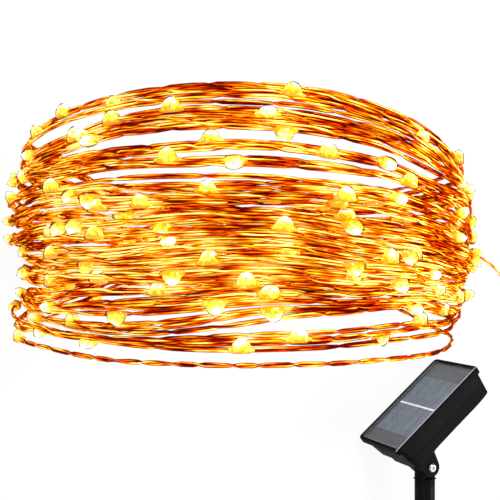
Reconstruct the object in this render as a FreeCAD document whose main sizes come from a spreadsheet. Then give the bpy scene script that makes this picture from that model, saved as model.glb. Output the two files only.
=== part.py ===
import FreeCAD, Part
import math
import os
import re

import Sketcher
from FreeCAD import Placement, Rotation, Vector

# Solar string lights as they lie on a table: a solar head on its long side, its stake folded
# out from the hinge, and the coil of copper wire with its light drops standing on its rim.
# Millimetres, +Z up from the table. The origin is the middle of the lip's side, which rests
# on the table.

SIZES = {
    # the solar head, seen on its face: length runs away from the hinge
    "head_length": 85,
    "head_width": 46,
    "corner_radius": 3.2,
    "lip_thickness": 4,
    "body_depth": 22,
    "parting_depth": 13,
    "gasket_thickness": 0.4,
    "gasket_inset": 0.35,
    "wall": 1.8,
    # how deep one feature sinks into the next so that they join, and the slack of a pin in its hole
    "bite": 0.5,
    "slack": 0.05,
    "front_inset": 0.5,
    # how far the body stands back under the lip, and how much more it draws in by its back
    "overhang_side": 1.2,
    "overhang_top": 1.3,
    "overhang_hinge": 2,
    "draft_side": 0.6,
    "draft_top": 0.7,
    "draft_hinge": 4.5,
    "turn_in": 37,
    "lip_round": 0.5,
    "back_bevel": 0.9,
    # the panel in the lip
    "rim_width": 2.2,
    "ledge": 1.2,
    "panel_recess": 2.9,
    "panel_clearance": 0.12,
    "laminate_thickness": 1.1,
    "cell_thickness": 0.25,
    "cell_gap": 0.35,
    "cell_strips": 5,
    "cells_length": 53.5,
    "cells_shift": -2,
    "cells_near_margin": 2.8,
    "cells_far_margin": 4.6,
    "row_gap": 1.4,
    "bus_width": 1.5,
    "bus_thickness": 0.12,
    "glass_thickness": 1.2,
    "glass_gap": 0.05,
    # the raised back over the battery
    "hump_height": 5,
    "hump_width": 28,
    "hump_hinge_end": -35.2,
    "hump_draft": 1,
    "hump_radius": 2.5,
    # the two ears and the bolt that clamps them
    "hinge_along": -21.8,
    "hinge_behind": 12,
    "ear_radius": 6.5,
    "ear_thickness": 3,
    "ear_base": 19,
    "knuckle_width": 9,
    "knuckle_gap": 0.3,
    "bolt_radius": 1.5,
    "bolt_clearance": 0.05,
    "bolt_head_radius": 3.05,
    "bolt_head_height": 1.6,
    "washer_radius": 3,
    "washer_thickness": 0.6,
    "nut_across_flats": 5.5,
    "nut_height": 2.4,
    # cover screws, two a side, measured from a wall's thickness inside the head's edges
    "screw_from_hinge": 11.2,
    "screw_from_top": 4.9,
    "screw_from_side": 4.4,
    "screw_radius": 1.25,
    "screw_head_radius": 2.1,
    "screw_head_height": 1.5,
    "screw_length": 9,
    "screw_recess": 1.8,
    "screw_hole_gap": 0.15,
    "screw_head_gap": 0.2,
    "boss_radius": 2.5,
    "boss_height": 2,
    "post_below_panel": 0.6,
    # buttons
    "button_along": 31,
    "power_across": -11,
    "mode_across": -1.6,
    "button_radius": 3.1,
    "button_gap": 0.3,
    "button_rise": 1.3,
    "button_flange": 4.1,
    "button_flange_height": 0.8,
    "button_bevel": 0.5,
    "switch_size": 6,
    "switch_height": 1.6,
    "plunger_radius": 1.7,
    "plunger_height": 0.4,
    "button_travel": 0.8,
    # the board
    "board_length": 14.4,
    "board_side_gap": 0.3,
    "board_thickness": 1.6,
    "board_back": 5.8,
    "board_screw_radius": 0.9,
    "board_screw_head": 1.7,
    "board_screw_head_height": 1.1,
    "board_screw_length": 4,
    "board_screw_inset": 2,
    "board_screw_across": 5,
    # the battery and the two ribs that it lies in
    "rib_thickness": 2,
    "rib_rise": 5.5,
    "rib_near_hinge": -22,
    "rib_near_board": 8,
    "rib_clearance": 0.1,
    "battery_off_floor": 0.3,
    "battery_radius": 7.25,
    "battery_length": 49.3,
    "battery_nub_radius": 2.75,
    "battery_nub_height": 1.2,
    "contact_thickness": 0.4,
    "contact_height": 11,
    "spring_length": 1.4,
    "spring_foot": 4.2,
    "spring_tip": 2.6,
    # the gland that the string leaves by
    "gland_along": 31,
    "gland_across": 12,
    "gland_radius": 2.5,
    "gland_flange": 3.6,
    "gland_flange_height": 1.4,
    "gland_length": 8,
    "gland_tip": 1.3,
    "gland_catch": 0.9,
    "gland_catch_height": 1,
    # the stake
    "stem_radius": 7,
    "stem_wall": 1.4,
    "tongue_inset": 0.3,
    "shoulder_below": 8.4,
    "collar_height": 5,
    "plug_length": 14,
    "plug_clearance": 0.05,
    "stem_length": 95,
    "spike_collar_radius": 9,
    "spike_collar_height": 18,
    "spike_socket_depth": 14,
    "spike_length": 105,
    "fin_reach": 9,
    "fin_thickness": 2.2,
    "fin_shoulder": 1.5,
    "fin_widest_below": 8,
    "fin_tip_reach": 1.4,
    "fin_tip_height": 9,
    "core_radius": 3,
    "core_tip_radius": 0.6,
    "core_tip_height": 6,
    # the wires inside the head, and the string and its coil
    "inner_wire_radius": 0.4,
    "wire_diameter": 1.7,
    "coil_radius": 114,
    "coil_half_length": 52,
    "coil_barrel": 9,
    "coil_wall": 6,
    "coil_x": -176,
    "coil_y": 115,
    "drop_count": 199,
    "drop_length": 8,
    "drop_radius": 3,
    "drop_turns": 50.8,
    "tie_width": 10,
    "tie_reach": 42,
    "tie_depth": 11,
    "tie_wire": 1.6,
    "tie_angle": 286,
}

# Sizes that follow from others. The raised back ends where the cell and its two contacts do, and the board
# fits between the screw posts.
DERIVED = {
    "hump_far_end": "hump_hinge_end + 2 * (wall + hump_draft + contact_thickness) + spring_length"
                    " + battery_length + battery_nub_height + 2 * slack",
    "board_width": "head_width - 2 * (wall + screw_from_side + boss_radius + board_side_gap)",
}

# The wire's free stretch: behind the stake along the table, round to the right and in under the coil.
LEAD_ROUTE = [
    (41.68, -3.80, 11.0),
    (46.6, -10.4, 10.2),
    (48.0, -20.0, 6.0),
    (45.5, -31.0, 1.7),
    (36.5, -44.5, 0.9),
    (28.5, -59.0, 0.9),
    (25.5, -77.0, 0.9),
    (26.0, -99.0, 0.9),
    (32.5, -119.0, 0.9),
    (48.0, -134.0, 0.9),
    (69.0, -139.0, 0.9),
    (89.5, -132.5, 0.9),
    (104.5, -116.5, 0.9),
    (111.5, -93.0, 0.9),
    (111.8, -58.0, 0.9),
    (112.0, -10.0, 0.9),
    (111.6, 36.0, 0.9),
    (108.5, 68.0, 0.9),
    (93.0, 93.0, 0.9),
    (62.0, 108.0, 0.9),
    (15.0, 113.0, 0.9),
    (-38.0, 113.5, 0.9),
    (-92.0, 110.5, 0.9),
    (-132.0, 112.0, 0.9),
    (-157.0, 115.0, 3.0),
]

doc = FreeCAD.newDocument("solar_string_lights")
sheet = doc.addObject("Spreadsheet::Sheet", "sizes")
cells = list(SIZES.items()) + [(alias, "=" + text) for alias, text in DERIVED.items()]
for line, (alias, value) in enumerate(cells, start=1):
    sheet.set("A%d" % line, alias)
    sheet.set("B%d" % line, str(value))
    sheet.setAlias("B%d" % line, alias)
doc.recompute()

nodes = []


# ---------------------------------------------------------------- sizes and expressions
def formula(text):
    """The text with each name of a size written as a reference to the sheet."""
    named = {*SIZES, *DERIVED}
    return re.sub(r"[a-z_]+", lambda m: "sizes." + m.group() if m.group() in named else m.group(), text)


def size(text):
    """The value of a size, or of a sum on sizes."""
    value = sheet.evalExpression(formula(str(text)))
    return float(getattr(value, "Value", value))


def bind(thing, name, text):
    thing.setExpression(name, formula(str(text)))


def kept(thing, label, placement):
    """Names a finished sub-part, places it and lists it for export."""
    thing.Label = label
    thing.Placement = placement
    nodes.append(thing)
    return thing


# ---------------------------------------------------------------- sketches
def new_sketch(body, name, role="XY_Plane", offset="0"):
    plane = [o for o in body.Origin.OriginFeatures if o.Role == role][0]
    sketch = body.newObject("Sketcher::SketchObject", name)
    sketch.AttachmentSupport = [(plane, "")]
    sketch.MapMode = "FlatFace"
    bind(sketch, "AttachmentOffset.Base.z", offset)
    return sketch


def dimension(sketch, name, text, kind, *where):
    """Adds a named constraint of this kind, and ties its value to the sizes."""
    index = sketch.addConstraint(Sketcher.Constraint(kind, *where, size(text)))
    sketch.renameConstraint(index, name)
    bind(sketch, "Constraints." + name, text)


def pin_point(sketch, name, geometry, end, x, y):
    """Fixes a point of the sketch at x, y from its origin."""
    dimension(sketch, name + "_x", x, "DistanceX", -1, 1, geometry, end)
    dimension(sketch, name + "_y", y, "DistanceY", -1, 1, geometry, end)


def add_line(sketch, start, end):
    return sketch.addGeometry(Part.LineSegment(Vector(*start, 0), Vector(*end, 0)), False)


def add_arc(sketch, centre, radius, first, last):
    circle = Part.Circle(Vector(*centre, 0), Vector(0, 0, 1), radius)
    return sketch.addGeometry(Part.ArcOfCircle(circle, math.radians(first), math.radians(last)), False)


def polygon(sketch, name, corners):
    """A closed outline through corners given as pairs of size texts."""
    points = [(size(x), size(y)) for x, y in corners]
    count = len(points)
    edges = [add_line(sketch, points[k], points[(k + 1) % count]) for k in range(count)]
    for k in range(count):
        sketch.addConstraint(Sketcher.Constraint("Coincident", edges[k], 2, edges[(k + 1) % count], 1))
    for k, (x, y) in enumerate(corners):
        pin_point(sketch, "%s_%d" % (name, k), edges[k], 1, x, y)


def circle(sketch, name, x, y, radius):
    shape = Part.Circle(Vector(size(x), size(y), 0), Vector(0, 0, 1), size(radius))
    ring = sketch.addGeometry(shape, False)
    pin_point(sketch, name, ring, 3, x, y)
    dimension(sketch, name + "_radius", radius, "Radius", ring)


def rounded_rectangle(sketch, name, left, right, low, high, radius):
    """Four sides and four corner arcs, tangent all round."""
    x0, x1, y0, y1, r = (size(text) for text in (left, right, low, high, radius))
    sides = [
        ((x0 + r, y0), (x1 - r, y0)),
        ((x1, y0 + r), (x1, y1 - r)),
        ((x1 - r, y1), (x0 + r, y1)),
        ((x0, y1 - r), (x0, y0 + r)),
    ]
    centres = [(x1 - r, y0 + r), (x1 - r, y1 - r), (x0 + r, y1 - r), (x0 + r, y0 + r)]
    chain = []
    for k in range(4):
        chain.append(add_line(sketch, *sides[k]))
        chain.append(add_arc(sketch, centres[k], r, 90 * k - 90, 90 * k))
    for k in range(8):
        sketch.addConstraint(Sketcher.Constraint("Tangent", chain[k], 2, chain[(k + 1) % 8], 1))
    for k in (0, 4):
        sketch.addConstraint(Sketcher.Constraint("Horizontal", chain[k]))
    for k in (2, 6):
        sketch.addConstraint(Sketcher.Constraint("Vertical", chain[k]))
    for k in (3, 5, 7):
        sketch.addConstraint(Sketcher.Constraint("Equal", chain[1], chain[k]))
    dimension(sketch, name + "_radius", radius, "Radius", chain[1])
    dimension(sketch, name + "_right", right, "DistanceX", -1, 1, chain[2], 1)
    dimension(sketch, name + "_left", left, "DistanceX", -1, 1, chain[6], 1)
    dimension(sketch, name + "_low", low, "DistanceY", -1, 1, chain[0], 1)
    dimension(sketch, name + "_high", high, "DistanceY", -1, 1, chain[4], 1)


# ---------------------------------------------------------------- features
def new_body(name):
    return doc.addObject("PartDesign::Body", name + "_body")


def pad(body, name, sketch, length, back=False):
    feature = body.newObject("PartDesign::Pad", name)
    feature.Profile = sketch
    bind(feature, "Length", length)
    feature.Reversed = back
    doc.recompute()
    return feature


def pocket(body, name, sketch, length, back=False):
    """Cuts the sketch through the body, and makes sure that the cut took something away."""
    before = body.Shape.Volume
    feature = body.newObject("PartDesign::Pocket", name)
    feature.Profile = sketch
    bind(feature, "Length", length)
    feature.Reversed = back
    doc.recompute()
    if body.Shape.Volume > before - 1e-6:
        raise RuntimeError(name + " cuts nothing")
    return feature


def loft(body, name, kind, first, last):
    feature = body.newObject("PartDesign::" + kind, name)
    feature.Profile = first
    feature.Sections = [last]
    feature.Ruled = True
    doc.recompute()
    return feature


def turn(body, name, sketch, kind="Revolution"):
    """Turns a sketch once round its own vertical axis."""
    feature = body.newObject("PartDesign::" + kind, name)
    feature.Profile = sketch
    feature.ReferenceAxis = (sketch, ["V_Axis"])
    feature.Angle = 360
    doc.recompute()
    return feature


def turned_body(name, corners):
    """A body turned from an outline of radius and height pairs."""
    body = new_body(name)
    sketch = new_sketch(body, name + "_outline", "XZ_Plane")
    polygon(sketch, name, corners)
    turn(body, name + "_turned", sketch)
    return body


def dress_edges(body, name, kind, amount, chosen):
    """Rounds or bevels the edges of the tip that the test picks."""
    base = body.Tip
    names = ["Edge%d" % (k + 1) for k, edge in enumerate(base.Shape.Edges) if chosen(edge)]
    feature = body.newObject("PartDesign::" + kind, name)
    feature.Base = (base, names)
    bind(feature, "Radius" if kind == "Fillet" else "Size", amount)
    doc.recompute()
    return feature


def cross_recess(body, name, top, reach, width, depth):
    """A screwdriver's cross, cut down from the head's top."""
    for k, (x, y) in enumerate(((reach, width), (width, reach))):
        sketch = new_sketch(body, "%s_%d" % (name, k), "XY_Plane", top)
        corners = [("-" + x, "-" + y), (x, "-" + y), (x, y), ("-" + x, y)]
        polygon(sketch, "%s_%d" % (name, k), corners)
        pocket(body, "%s_cut_%d" % (name, k), sketch, depth)


def box(name, low, high):
    """A box between two corners given as size texts."""
    block = doc.addObject("Part::Box", name)
    for prop, k in (("Length", 0), ("Width", 1), ("Height", 2)):
        bind(block, prop, "(%s) - (%s)" % (high[k], low[k]))
    for prop, k in (("x", 0), ("y", 1), ("z", 2)):
        bind(block, "Placement.Base." + prop, low[k])
    return block


def group(label, shape, places, placement):
    """Copies of one shape at several places, as separate solids of one node."""
    thing = doc.addObject("Part::Feature", label)
    thing.Shape = Part.makeCompound([shape.transformed(place.toMatrix(), copy=True) for place in places])
    return kept(thing, label, placement)


def upright(x, y, z, turned_over=False):
    """A place in the head for a piece whose own +Z points out of the face, or out of the back."""
    rotation = Rotation(Vector(1, 0, 0), 180) if turned_over else Rotation()
    return Placement(Vector(size(x), size(y), size(z)), rotation)


# ---------------------------------------------------------------- where the head and stake lie
# The head's own frame: X along its length from the hinge end, Z out of its face, and the side
# at +Y is the one that it lies on.
turn_in = math.radians(size("turn_in"))
along = Vector(math.cos(turn_in), math.sin(turn_in), 0)
outward = Vector(-math.sin(turn_in), math.cos(turn_in), 0)
head_turn = Rotation(along, Vector(0, 0, -1), outward, "ZXY")
head_base = Vector(0, 0, size("head_width / 2")) + outward * size("lip_thickness / 2")
HEAD = Placement(head_base, head_turn)
HINGE_Z = "-(body_depth + hump_height + hinge_behind)"
hinge = HEAD.multVec(Vector(size("hinge_along"), 0, size(HINGE_Z)))
# The stake's own frame: the hinge bolt along X, and the stem down -Z, which is -Y on the table.
STAKE = Placement(hinge, Rotation(Vector(0, 0, 1), Vector(1, 0, 0), Vector(0, 1, 0), "ZXY"))


# ---------------------------------------------------------------- the head's shells
def shell_outline(body, name, depth, inset, rounded=True):
    """The body's outline at a depth behind the face, drawn in by its draft and by an inset."""
    share = "((%s) - lip_thickness) / (body_depth - lip_thickness)" % depth
    side = "(overhang_side + draft_side * %s + %s)" % (share, inset)
    far = "(overhang_top + draft_top * %s + %s)" % (share, inset)
    near = "(overhang_hinge + draft_hinge * %s + %s)" % (share, inset)
    sketch = new_sketch(body, name, "XY_Plane", "-(%s)" % depth)
    left, right = "-head_length / 2 + " + near, "head_length / 2 - " + far
    low, high = "-head_width / 2 + " + side, "head_width / 2 - " + side
    if rounded:
        rounded_rectangle(sketch, name, left, right, low, high, "corner_radius - (%s) / 2" % inset)
    else:
        polygon(sketch, name, [(left, low), (right, low), (right, high), (left, high)])
    return sketch


def lip_outline(body, name, height, inset):
    """The lip's outline, drawn in by an inset, at a height above the face's plane."""
    sketch = new_sketch(body, name, "XY_Plane", height)
    rounded_rectangle(
        sketch,
        name,
        "-head_length / 2 + " + inset,
        "head_length / 2 - " + inset,
        "-head_width / 2 + " + inset,
        "head_width / 2 - " + inset,
        "corner_radius - (%s) / 2" % inset,
    )
    return sketch


SCREW_X = ("-head_length / 2 + wall + screw_from_hinge", "head_length / 2 - wall - screw_from_top")
SCREW_Y = ("-head_width / 2 + wall + screw_from_side", "head_width / 2 - wall - screw_from_side")
SCREW_PLACES = [(x, y) for x in SCREW_X for y in SCREW_Y]
BOARD_LOW = "(button_along - board_length / 2)"
BOARD_SCREWS = [
    (BOARD_LOW + " + board_screw_inset", "board_screw_across"),
    (BOARD_LOW + " + board_length - board_screw_inset", "board_screw_across"),
]
BOARD_BACK = "(-(body_depth - board_back))"
CELL_AXIS = "-(body_depth + hump_height - wall - battery_radius - battery_off_floor)"
REAR_START = "(parting_depth + gasket_thickness)"
BACK_INSIDE = "(body_depth - wall)"
BOSS_FOOT = "(body_depth - wall - boss_height)"


def make_front_shell():
    """Lip, panel recess and the walls down to the parting line, with four screw posts inside."""
    body = new_body("front_shell")
    pad(body, "lip", lip_outline(body, "lip_edge", "-lip_thickness", "0"), "lip_thickness")
    top = shell_outline(body, "wall_top", "lip_thickness", "0")
    low = shell_outline(body, "wall_low", "parting_depth", "0")
    loft(body, "walls", "AdditiveLoft", top, low)
    edge = lip_outline(body, "recess_edge", "0", "rim_width")
    pocket(body, "panel_seat", edge, "panel_recess")
    inside = "(wall + front_inset)"
    mouth = shell_outline(body, "cavity_top", "panel_recess", inside, rounded=False)
    foot = shell_outline(body, "cavity_low", "parting_depth", inside, rounded=False)
    loft(body, "cavity", "SubtractiveLoft", mouth, foot)
    post = new_sketch(body, "post_circles", "XY_Plane", "-" + BOSS_FOOT)
    for k, (x, y) in enumerate(SCREW_PLACES):
        circle(post, "post_%d" % k, x, y, "boss_radius")
    pad(body, "posts", post, BOSS_FOOT + " - panel_recess - post_below_panel")
    bore = new_sketch(body, "pilot_circles", "XY_Plane", "-" + BOSS_FOOT)
    for k, (x, y) in enumerate(SCREW_PLACES):
        circle(bore, "pilot_%d" % k, x, y, "screw_radius + slack")
    pocket(body, "pilots", bore, "screw_length", back=True)
    dress_edges(body, "lip_rounding", "Fillet", "lip_round", outer_edge)
    return kept(body, "front_shell", HEAD)


def outer_edge(edge):
    """Whether an edge lies in the face's plane, on the lip's outer outline."""
    if abs(edge.BoundBox.ZMin) > 1e-6:
        return False
    centre = edge.CenterOfMass
    inside_x = abs(centre.x) < size("head_length / 2 - rim_width / 2 - corner_radius / 2")
    inside_y = abs(centre.y) < size("head_width / 2 - rim_width / 2 - corner_radius / 2")
    outline_x = abs(abs(centre.x) - size("head_length / 2")) < size("corner_radius / 2")
    outline_y = abs(abs(centre.y) - size("head_width / 2")) < size("corner_radius / 2")
    return (outline_x or outline_y) and not (inside_x and inside_y)


def back_edge(edge):
    """Whether an edge lies in the plane of the flat back."""
    return abs(edge.BoundBox.ZMax + size("body_depth")) < 1e-6


def ear_sketch(body, name, offset):
    """An ear's side: a foot on the raised back, drawn tangent to a round end about the bolt."""
    foot_text = "-(body_depth + hump_height - bite)"
    foot_z = size(foot_text)
    left = (size("hinge_along - ear_base / 2"), foot_z)
    right = (size("hinge_along + ear_base / 2"), foot_z)
    centre = (size("hinge_along"), size(HINGE_Z))
    radius = size("ear_radius")
    reach = math.hypot(right[0] - centre[0], right[1] - centre[1])
    lean = math.degrees(math.atan2(right[1] - centre[1], right[0] - centre[0]))
    swing = math.degrees(math.acos(radius / reach))
    touch = lean - swing
    end = math.radians(touch)
    right_touch = (centre[0] + radius * math.cos(end), centre[1] + radius * math.sin(end))
    left_touch = (2 * centre[0] - right_touch[0], right_touch[1])
    sketch = new_sketch(body, name, "XZ_Plane", offset)
    foot = add_line(sketch, right, left)
    down = add_line(sketch, left, left_touch)
    nose = add_arc(sketch, centre, radius, 180 - touch, 360 + touch)
    rise = add_line(sketch, right_touch, right)
    sketch.addConstraint(Sketcher.Constraint("Coincident", foot, 2, down, 1))
    sketch.addConstraint(Sketcher.Constraint("Tangent", down, 2, nose, 1))
    sketch.addConstraint(Sketcher.Constraint("Tangent", nose, 2, rise, 1))
    sketch.addConstraint(Sketcher.Constraint("Coincident", rise, 2, foot, 1))
    pin_point(sketch, "foot_right", foot, 1, "hinge_along + ear_base / 2", foot_text)
    pin_point(sketch, "foot_left", foot, 2, "hinge_along - ear_base / 2", foot_text)
    pin_point(sketch, "bolt", nose, 3, "hinge_along", HINGE_Z)
    dimension(sketch, "nose_radius", "ear_radius", "Radius", nose)
    return sketch


def hump_outline(body, name, depth, draw):
    """The raised back's outline at a depth, drawn in on all sides."""
    sketch = new_sketch(body, name, "XY_Plane", "-(%s)" % depth)
    rounded_rectangle(
        sketch,
        name,
        "hump_hinge_end + " + draw,
        "hump_far_end - " + draw,
        "-hump_width / 2 + " + draw,
        "hump_width / 2 - " + draw,
        "hump_radius",
    )
    return sketch


def make_rear_shell():
    """Back half of the housing: drafted walls, raised back over the battery and two ears."""
    body = new_body("rear_shell")
    rim = shell_outline(body, "rear_rim", REAR_START, "0")
    back = shell_outline(body, "rear_back", "body_depth", "0")
    loft(body, "rear_walls", "AdditiveLoft", rim, back)
    dress_edges(body, "back_bevel", "Chamfer", "back_bevel", back_edge)
    foot = hump_outline(body, "hump_foot", "body_depth - bite", "0")
    crown = hump_outline(body, "hump_crown", "body_depth + hump_height", "hump_draft")
    loft(body, "raised_back", "AdditiveLoft", foot, crown)
    mouth = shell_outline(body, "rear_mouth", REAR_START, "wall", rounded=False)
    floor = shell_outline(body, "rear_floor", BACK_INSIDE, "wall", rounded=False)
    loft(body, "rear_cavity", "SubtractiveLoft", mouth, floor)
    well_top = hump_outline(body, "well_top", BACK_INSIDE, "wall")
    well_low = hump_outline(body, "well_low", "body_depth + hump_height - wall", "(wall + hump_draft)")
    loft(body, "battery_well", "SubtractiveLoft", well_top, well_low)
    boss = new_sketch(body, "boss_circles", "XY_Plane", "-(body_depth - bite)")
    for k, (x, y) in enumerate(SCREW_PLACES):
        circle(boss, "boss_%d" % k, x, y, "boss_radius")
    pad(body, "bosses", boss, "wall + boss_height - bite")
    stand = new_sketch(body, "board_posts", "XY_Plane", "-(body_depth - bite)")
    for k, (x, y) in enumerate(BOARD_SCREWS):
        circle(stand, "stand_%d" % k, x, y, "board_screw_head + 0.3")
    pad(body, "board_stands", stand, "board_back - bite")
    drill = new_sketch(body, "board_pilots", "XY_Plane", BOARD_BACK)
    for k, (x, y) in enumerate(BOARD_SCREWS):
        circle(drill, "drill_%d" % k, x, y, "board_screw_radius + slack")
    pocket(body, "board_pilot_cut", drill, "board_screw_length - board_thickness + bite")
    ribs = new_sketch(body, "rib_feet", "XY_Plane", "-(body_depth + hump_height - bite)")
    for name, x in (("hinge_rib", "rib_near_hinge"), ("board_rib", "rib_near_board")):
        polygon(ribs, name, [
            (x, "-hump_width / 2 + 1"),
            (x + " + rib_thickness", "-hump_width / 2 + 1"),
            (x + " + rib_thickness", "hump_width / 2 - 1"),
            (x, "hump_width / 2 - 1"),
        ])
    pad(body, "battery_ribs", ribs, "wall + rib_rise - bite")
    cradle = new_sketch(body, "cradle_circle", "YZ_Plane", "rib_near_hinge - 1")
    circle(cradle, "cradle", "0", CELL_AXIS, "battery_radius + rib_clearance")
    pocket(body, "cradle_cut", cradle, "rib_near_board - rib_near_hinge + rib_thickness + 2", back=True)
    hole = new_sketch(body, "screw_circles", "XY_Plane", "-(body_depth + 1)")
    for k, (x, y) in enumerate(SCREW_PLACES):
        circle(hole, "hole_%d" % k, x, y, "screw_radius + screw_hole_gap")
    pocket(body, "screw_holes", hole, "wall + boss_height + 2", back=True)
    sink = new_sketch(body, "recess_circles", "XY_Plane", "-(body_depth + 1)")
    for k, (x, y) in enumerate(SCREW_PLACES):
        circle(sink, "sink_%d" % k, x, y, "screw_head_radius + screw_head_gap")
    pocket(body, "screw_recesses", sink, "screw_recess + 1", back=True)
    holes = new_sketch(body, "button_circles", "XY_Plane", "-(body_depth + 1)")
    circle(holes, "power", "button_along", "power_across", "button_radius + button_gap")
    circle(holes, "mode", "button_along", "mode_across", "button_radius + button_gap")
    circle(holes, "gland", "gland_along", "gland_across", "gland_radius + slack")
    pocket(body, "back_holes", holes, "wall + 2", back=True)
    near = ear_sketch(body, "near_ear_side", "knuckle_width / 2 + knuckle_gap")
    pad(body, "near_ear", near, "ear_thickness")
    far = ear_sketch(body, "far_ear_side", "-(knuckle_width / 2 + knuckle_gap)")
    pad(body, "far_ear", far, "ear_thickness", back=True)
    bore = new_sketch(body, "bolt_circle", "XZ_Plane", "head_width / 2")
    circle(bore, "bolt_hole", "hinge_along", HINGE_Z, "bolt_radius + bolt_clearance")
    pocket(body, "bolt_bore", bore, "head_width")
    return kept(body, "rear_shell", HEAD)


def make_seal():
    """Flat gasket between the two shells, which shows as the line along the head's side."""
    body = new_body("seal")
    sketch = shell_outline(body, "seal_outer", "parting_depth", "gasket_inset")
    pad(body, "seal_sheet", sketch, "gasket_thickness", back=True)
    inner = shell_outline(body, "seal_inner", "parting_depth", "wall", rounded=False)
    pocket(body, "seal_window", inner, "gasket_thickness")
    return kept(body, "housing_seal", HEAD)


# ---------------------------------------------------------------- the panel
PANEL_FLOOR = "(-panel_recess)"
CELLS_BASE = "(laminate_thickness - panel_recess)"


def panel_sheet(name, floor, thickness):
    """A rounded sheet that drops into the lip's recess."""
    body = new_body(name)
    edge = lip_outline(body, name + "_edge", floor, "(rim_width + panel_clearance)")
    pad(body, name + "_sheet", edge, thickness)
    return body


def make_panel():
    kept(panel_sheet("laminate", PANEL_FLOOR, "laminate_thickness"), "solar_laminate", HEAD)
    glass_floor = "(%s + cell_thickness + bus_thickness + glass_gap)" % CELLS_BASE
    kept(panel_sheet("glass", glass_floor, "glass_thickness"), "cover_glass", HEAD)
    near = "(-head_width / 2 + cells_near_margin)"
    width = "(head_width - cells_near_margin - cells_far_margin)"
    strip = "((%s - (cell_strips - 1) * cell_gap) / cell_strips)" % width
    rows = (("-cells_length / 2", "-row_gap / 2"), ("row_gap / 2", "cells_length / 2"))
    strips = []
    bars = []
    for k in range(int(size("cell_strips"))):
        low_y = "%s + %d * (%s + cell_gap)" % (near, k, strip)
        high_y = "%s + %s" % (low_y, strip)
        for row, (start, end) in enumerate(rows):
            low = ("cells_shift + " + start, low_y, CELLS_BASE)
            high = ("cells_shift + " + end, high_y, CELLS_BASE + " + cell_thickness")
            strips.append(box("cell_%d_%d" % (row, k), low, high))
        low = ("cells_shift - bus_width / 2", low_y, CELLS_BASE + " + cell_thickness")
        high = ("cells_shift + bus_width / 2", high_y, CELLS_BASE + " + cell_thickness + bus_thickness")
        bars.append(box("bar_%d" % k, low, high))
    for label, links in (("solar_cells", strips), ("bus_bar", bars)):
        thing = doc.addObject("Part::Compound", label)
        thing.Links = links
        kept(thing, label, HEAD)


# ---------------------------------------------------------------- fasteners of the head
def screw_body(name, head_radius, head_height, radius, length, recess):
    """A pan-head screw along its own Z, with the underside of its head at zero."""
    corners = [
        ("0", "-(%s)" % length),
        (radius, "-(%s)" % length),
        (radius, "0"),
        (head_radius, "0"),
        (head_radius, "%s * 0.55" % head_height),
        ("%s * 0.72" % head_radius, head_height),
        ("0", head_height),
    ]
    body = turned_body(name, corners)
    if recess:
        arm, half = "(%s * 0.55)" % head_radius, "(%s * 0.14)" % head_radius
        cross_recess(body, name + "_cross", head_height, arm, half, recess)
    return body


def make_fasteners():
    head = ("screw_head_radius", "screw_head_height")
    screw = screw_body("screw", *head, "screw_radius", "screw_length", "0.8")
    seat = "-(body_depth - screw_recess)"
    places = [upright(x, y, seat, turned_over=True) for x, y in SCREW_PLACES]
    group("cover_screws", screw.Shape, places, HEAD)
    ears = "(knuckle_width + 2 * knuckle_gap + 2 * ear_thickness)"
    grip = "(%s + washer_thickness + nut_height + 1)" % ears
    head = ("bolt_head_radius", "bolt_head_height")
    bolt = screw_body("bolt", *head, "bolt_radius", grip, "1")
    ear_face = size("knuckle_width / 2 + knuckle_gap + ear_thickness")
    axis = Vector(size("hinge_along"), 0, size(HINGE_Z))
    near_face = Placement(axis + Vector(0, -ear_face, 0), Rotation(Vector(1, 0, 0), 90))
    kept(bolt, "hinge_bolt", HEAD.multiply(near_face))
    far_face = Placement(axis + Vector(0, ear_face, 0), Rotation(Vector(1, 0, 0), -90))
    inner = "bolt_radius + bolt_clearance"
    washer = turned_body("washer", [
        (inner, "0"),
        ("washer_radius", "0"),
        ("washer_radius", "washer_thickness"),
        (inner, "washer_thickness"),
    ])
    kept(washer, "lock_washer", HEAD.multiply(far_face))
    nut = new_body("nut")
    sketch = new_sketch(nut, "nut_hexagon", "XY_Plane", "washer_thickness")
    corner = "(nut_across_flats / 2 / cos(30deg)) * %s(%ddeg)"
    polygon(sketch, "nut", [(corner % ("cos", 60 * k), corner % ("sin", 60 * k)) for k in range(6)])
    pad(nut, "nut_block", sketch, "nut_height")
    hole = new_sketch(nut, "nut_thread", "XY_Plane", "washer_thickness")
    circle(hole, "thread", "0", "0", inner)
    pocket(nut, "nut_hole", hole, "nut_height", back=True)
    kept(nut, "hinge_nut", HEAD.multiply(far_face))


# ---------------------------------------------------------------- what the head holds
# Components on the board: middle along and across from the buttons' line, length, width, height.
COMPONENTS = [(0.5, 6, 5, 6, 1.5), (4, -7, 4, 4, 2.2), (-4.5, -8, 3, 2, 1), (-4, 0, 2, 3, 1)]


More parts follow.
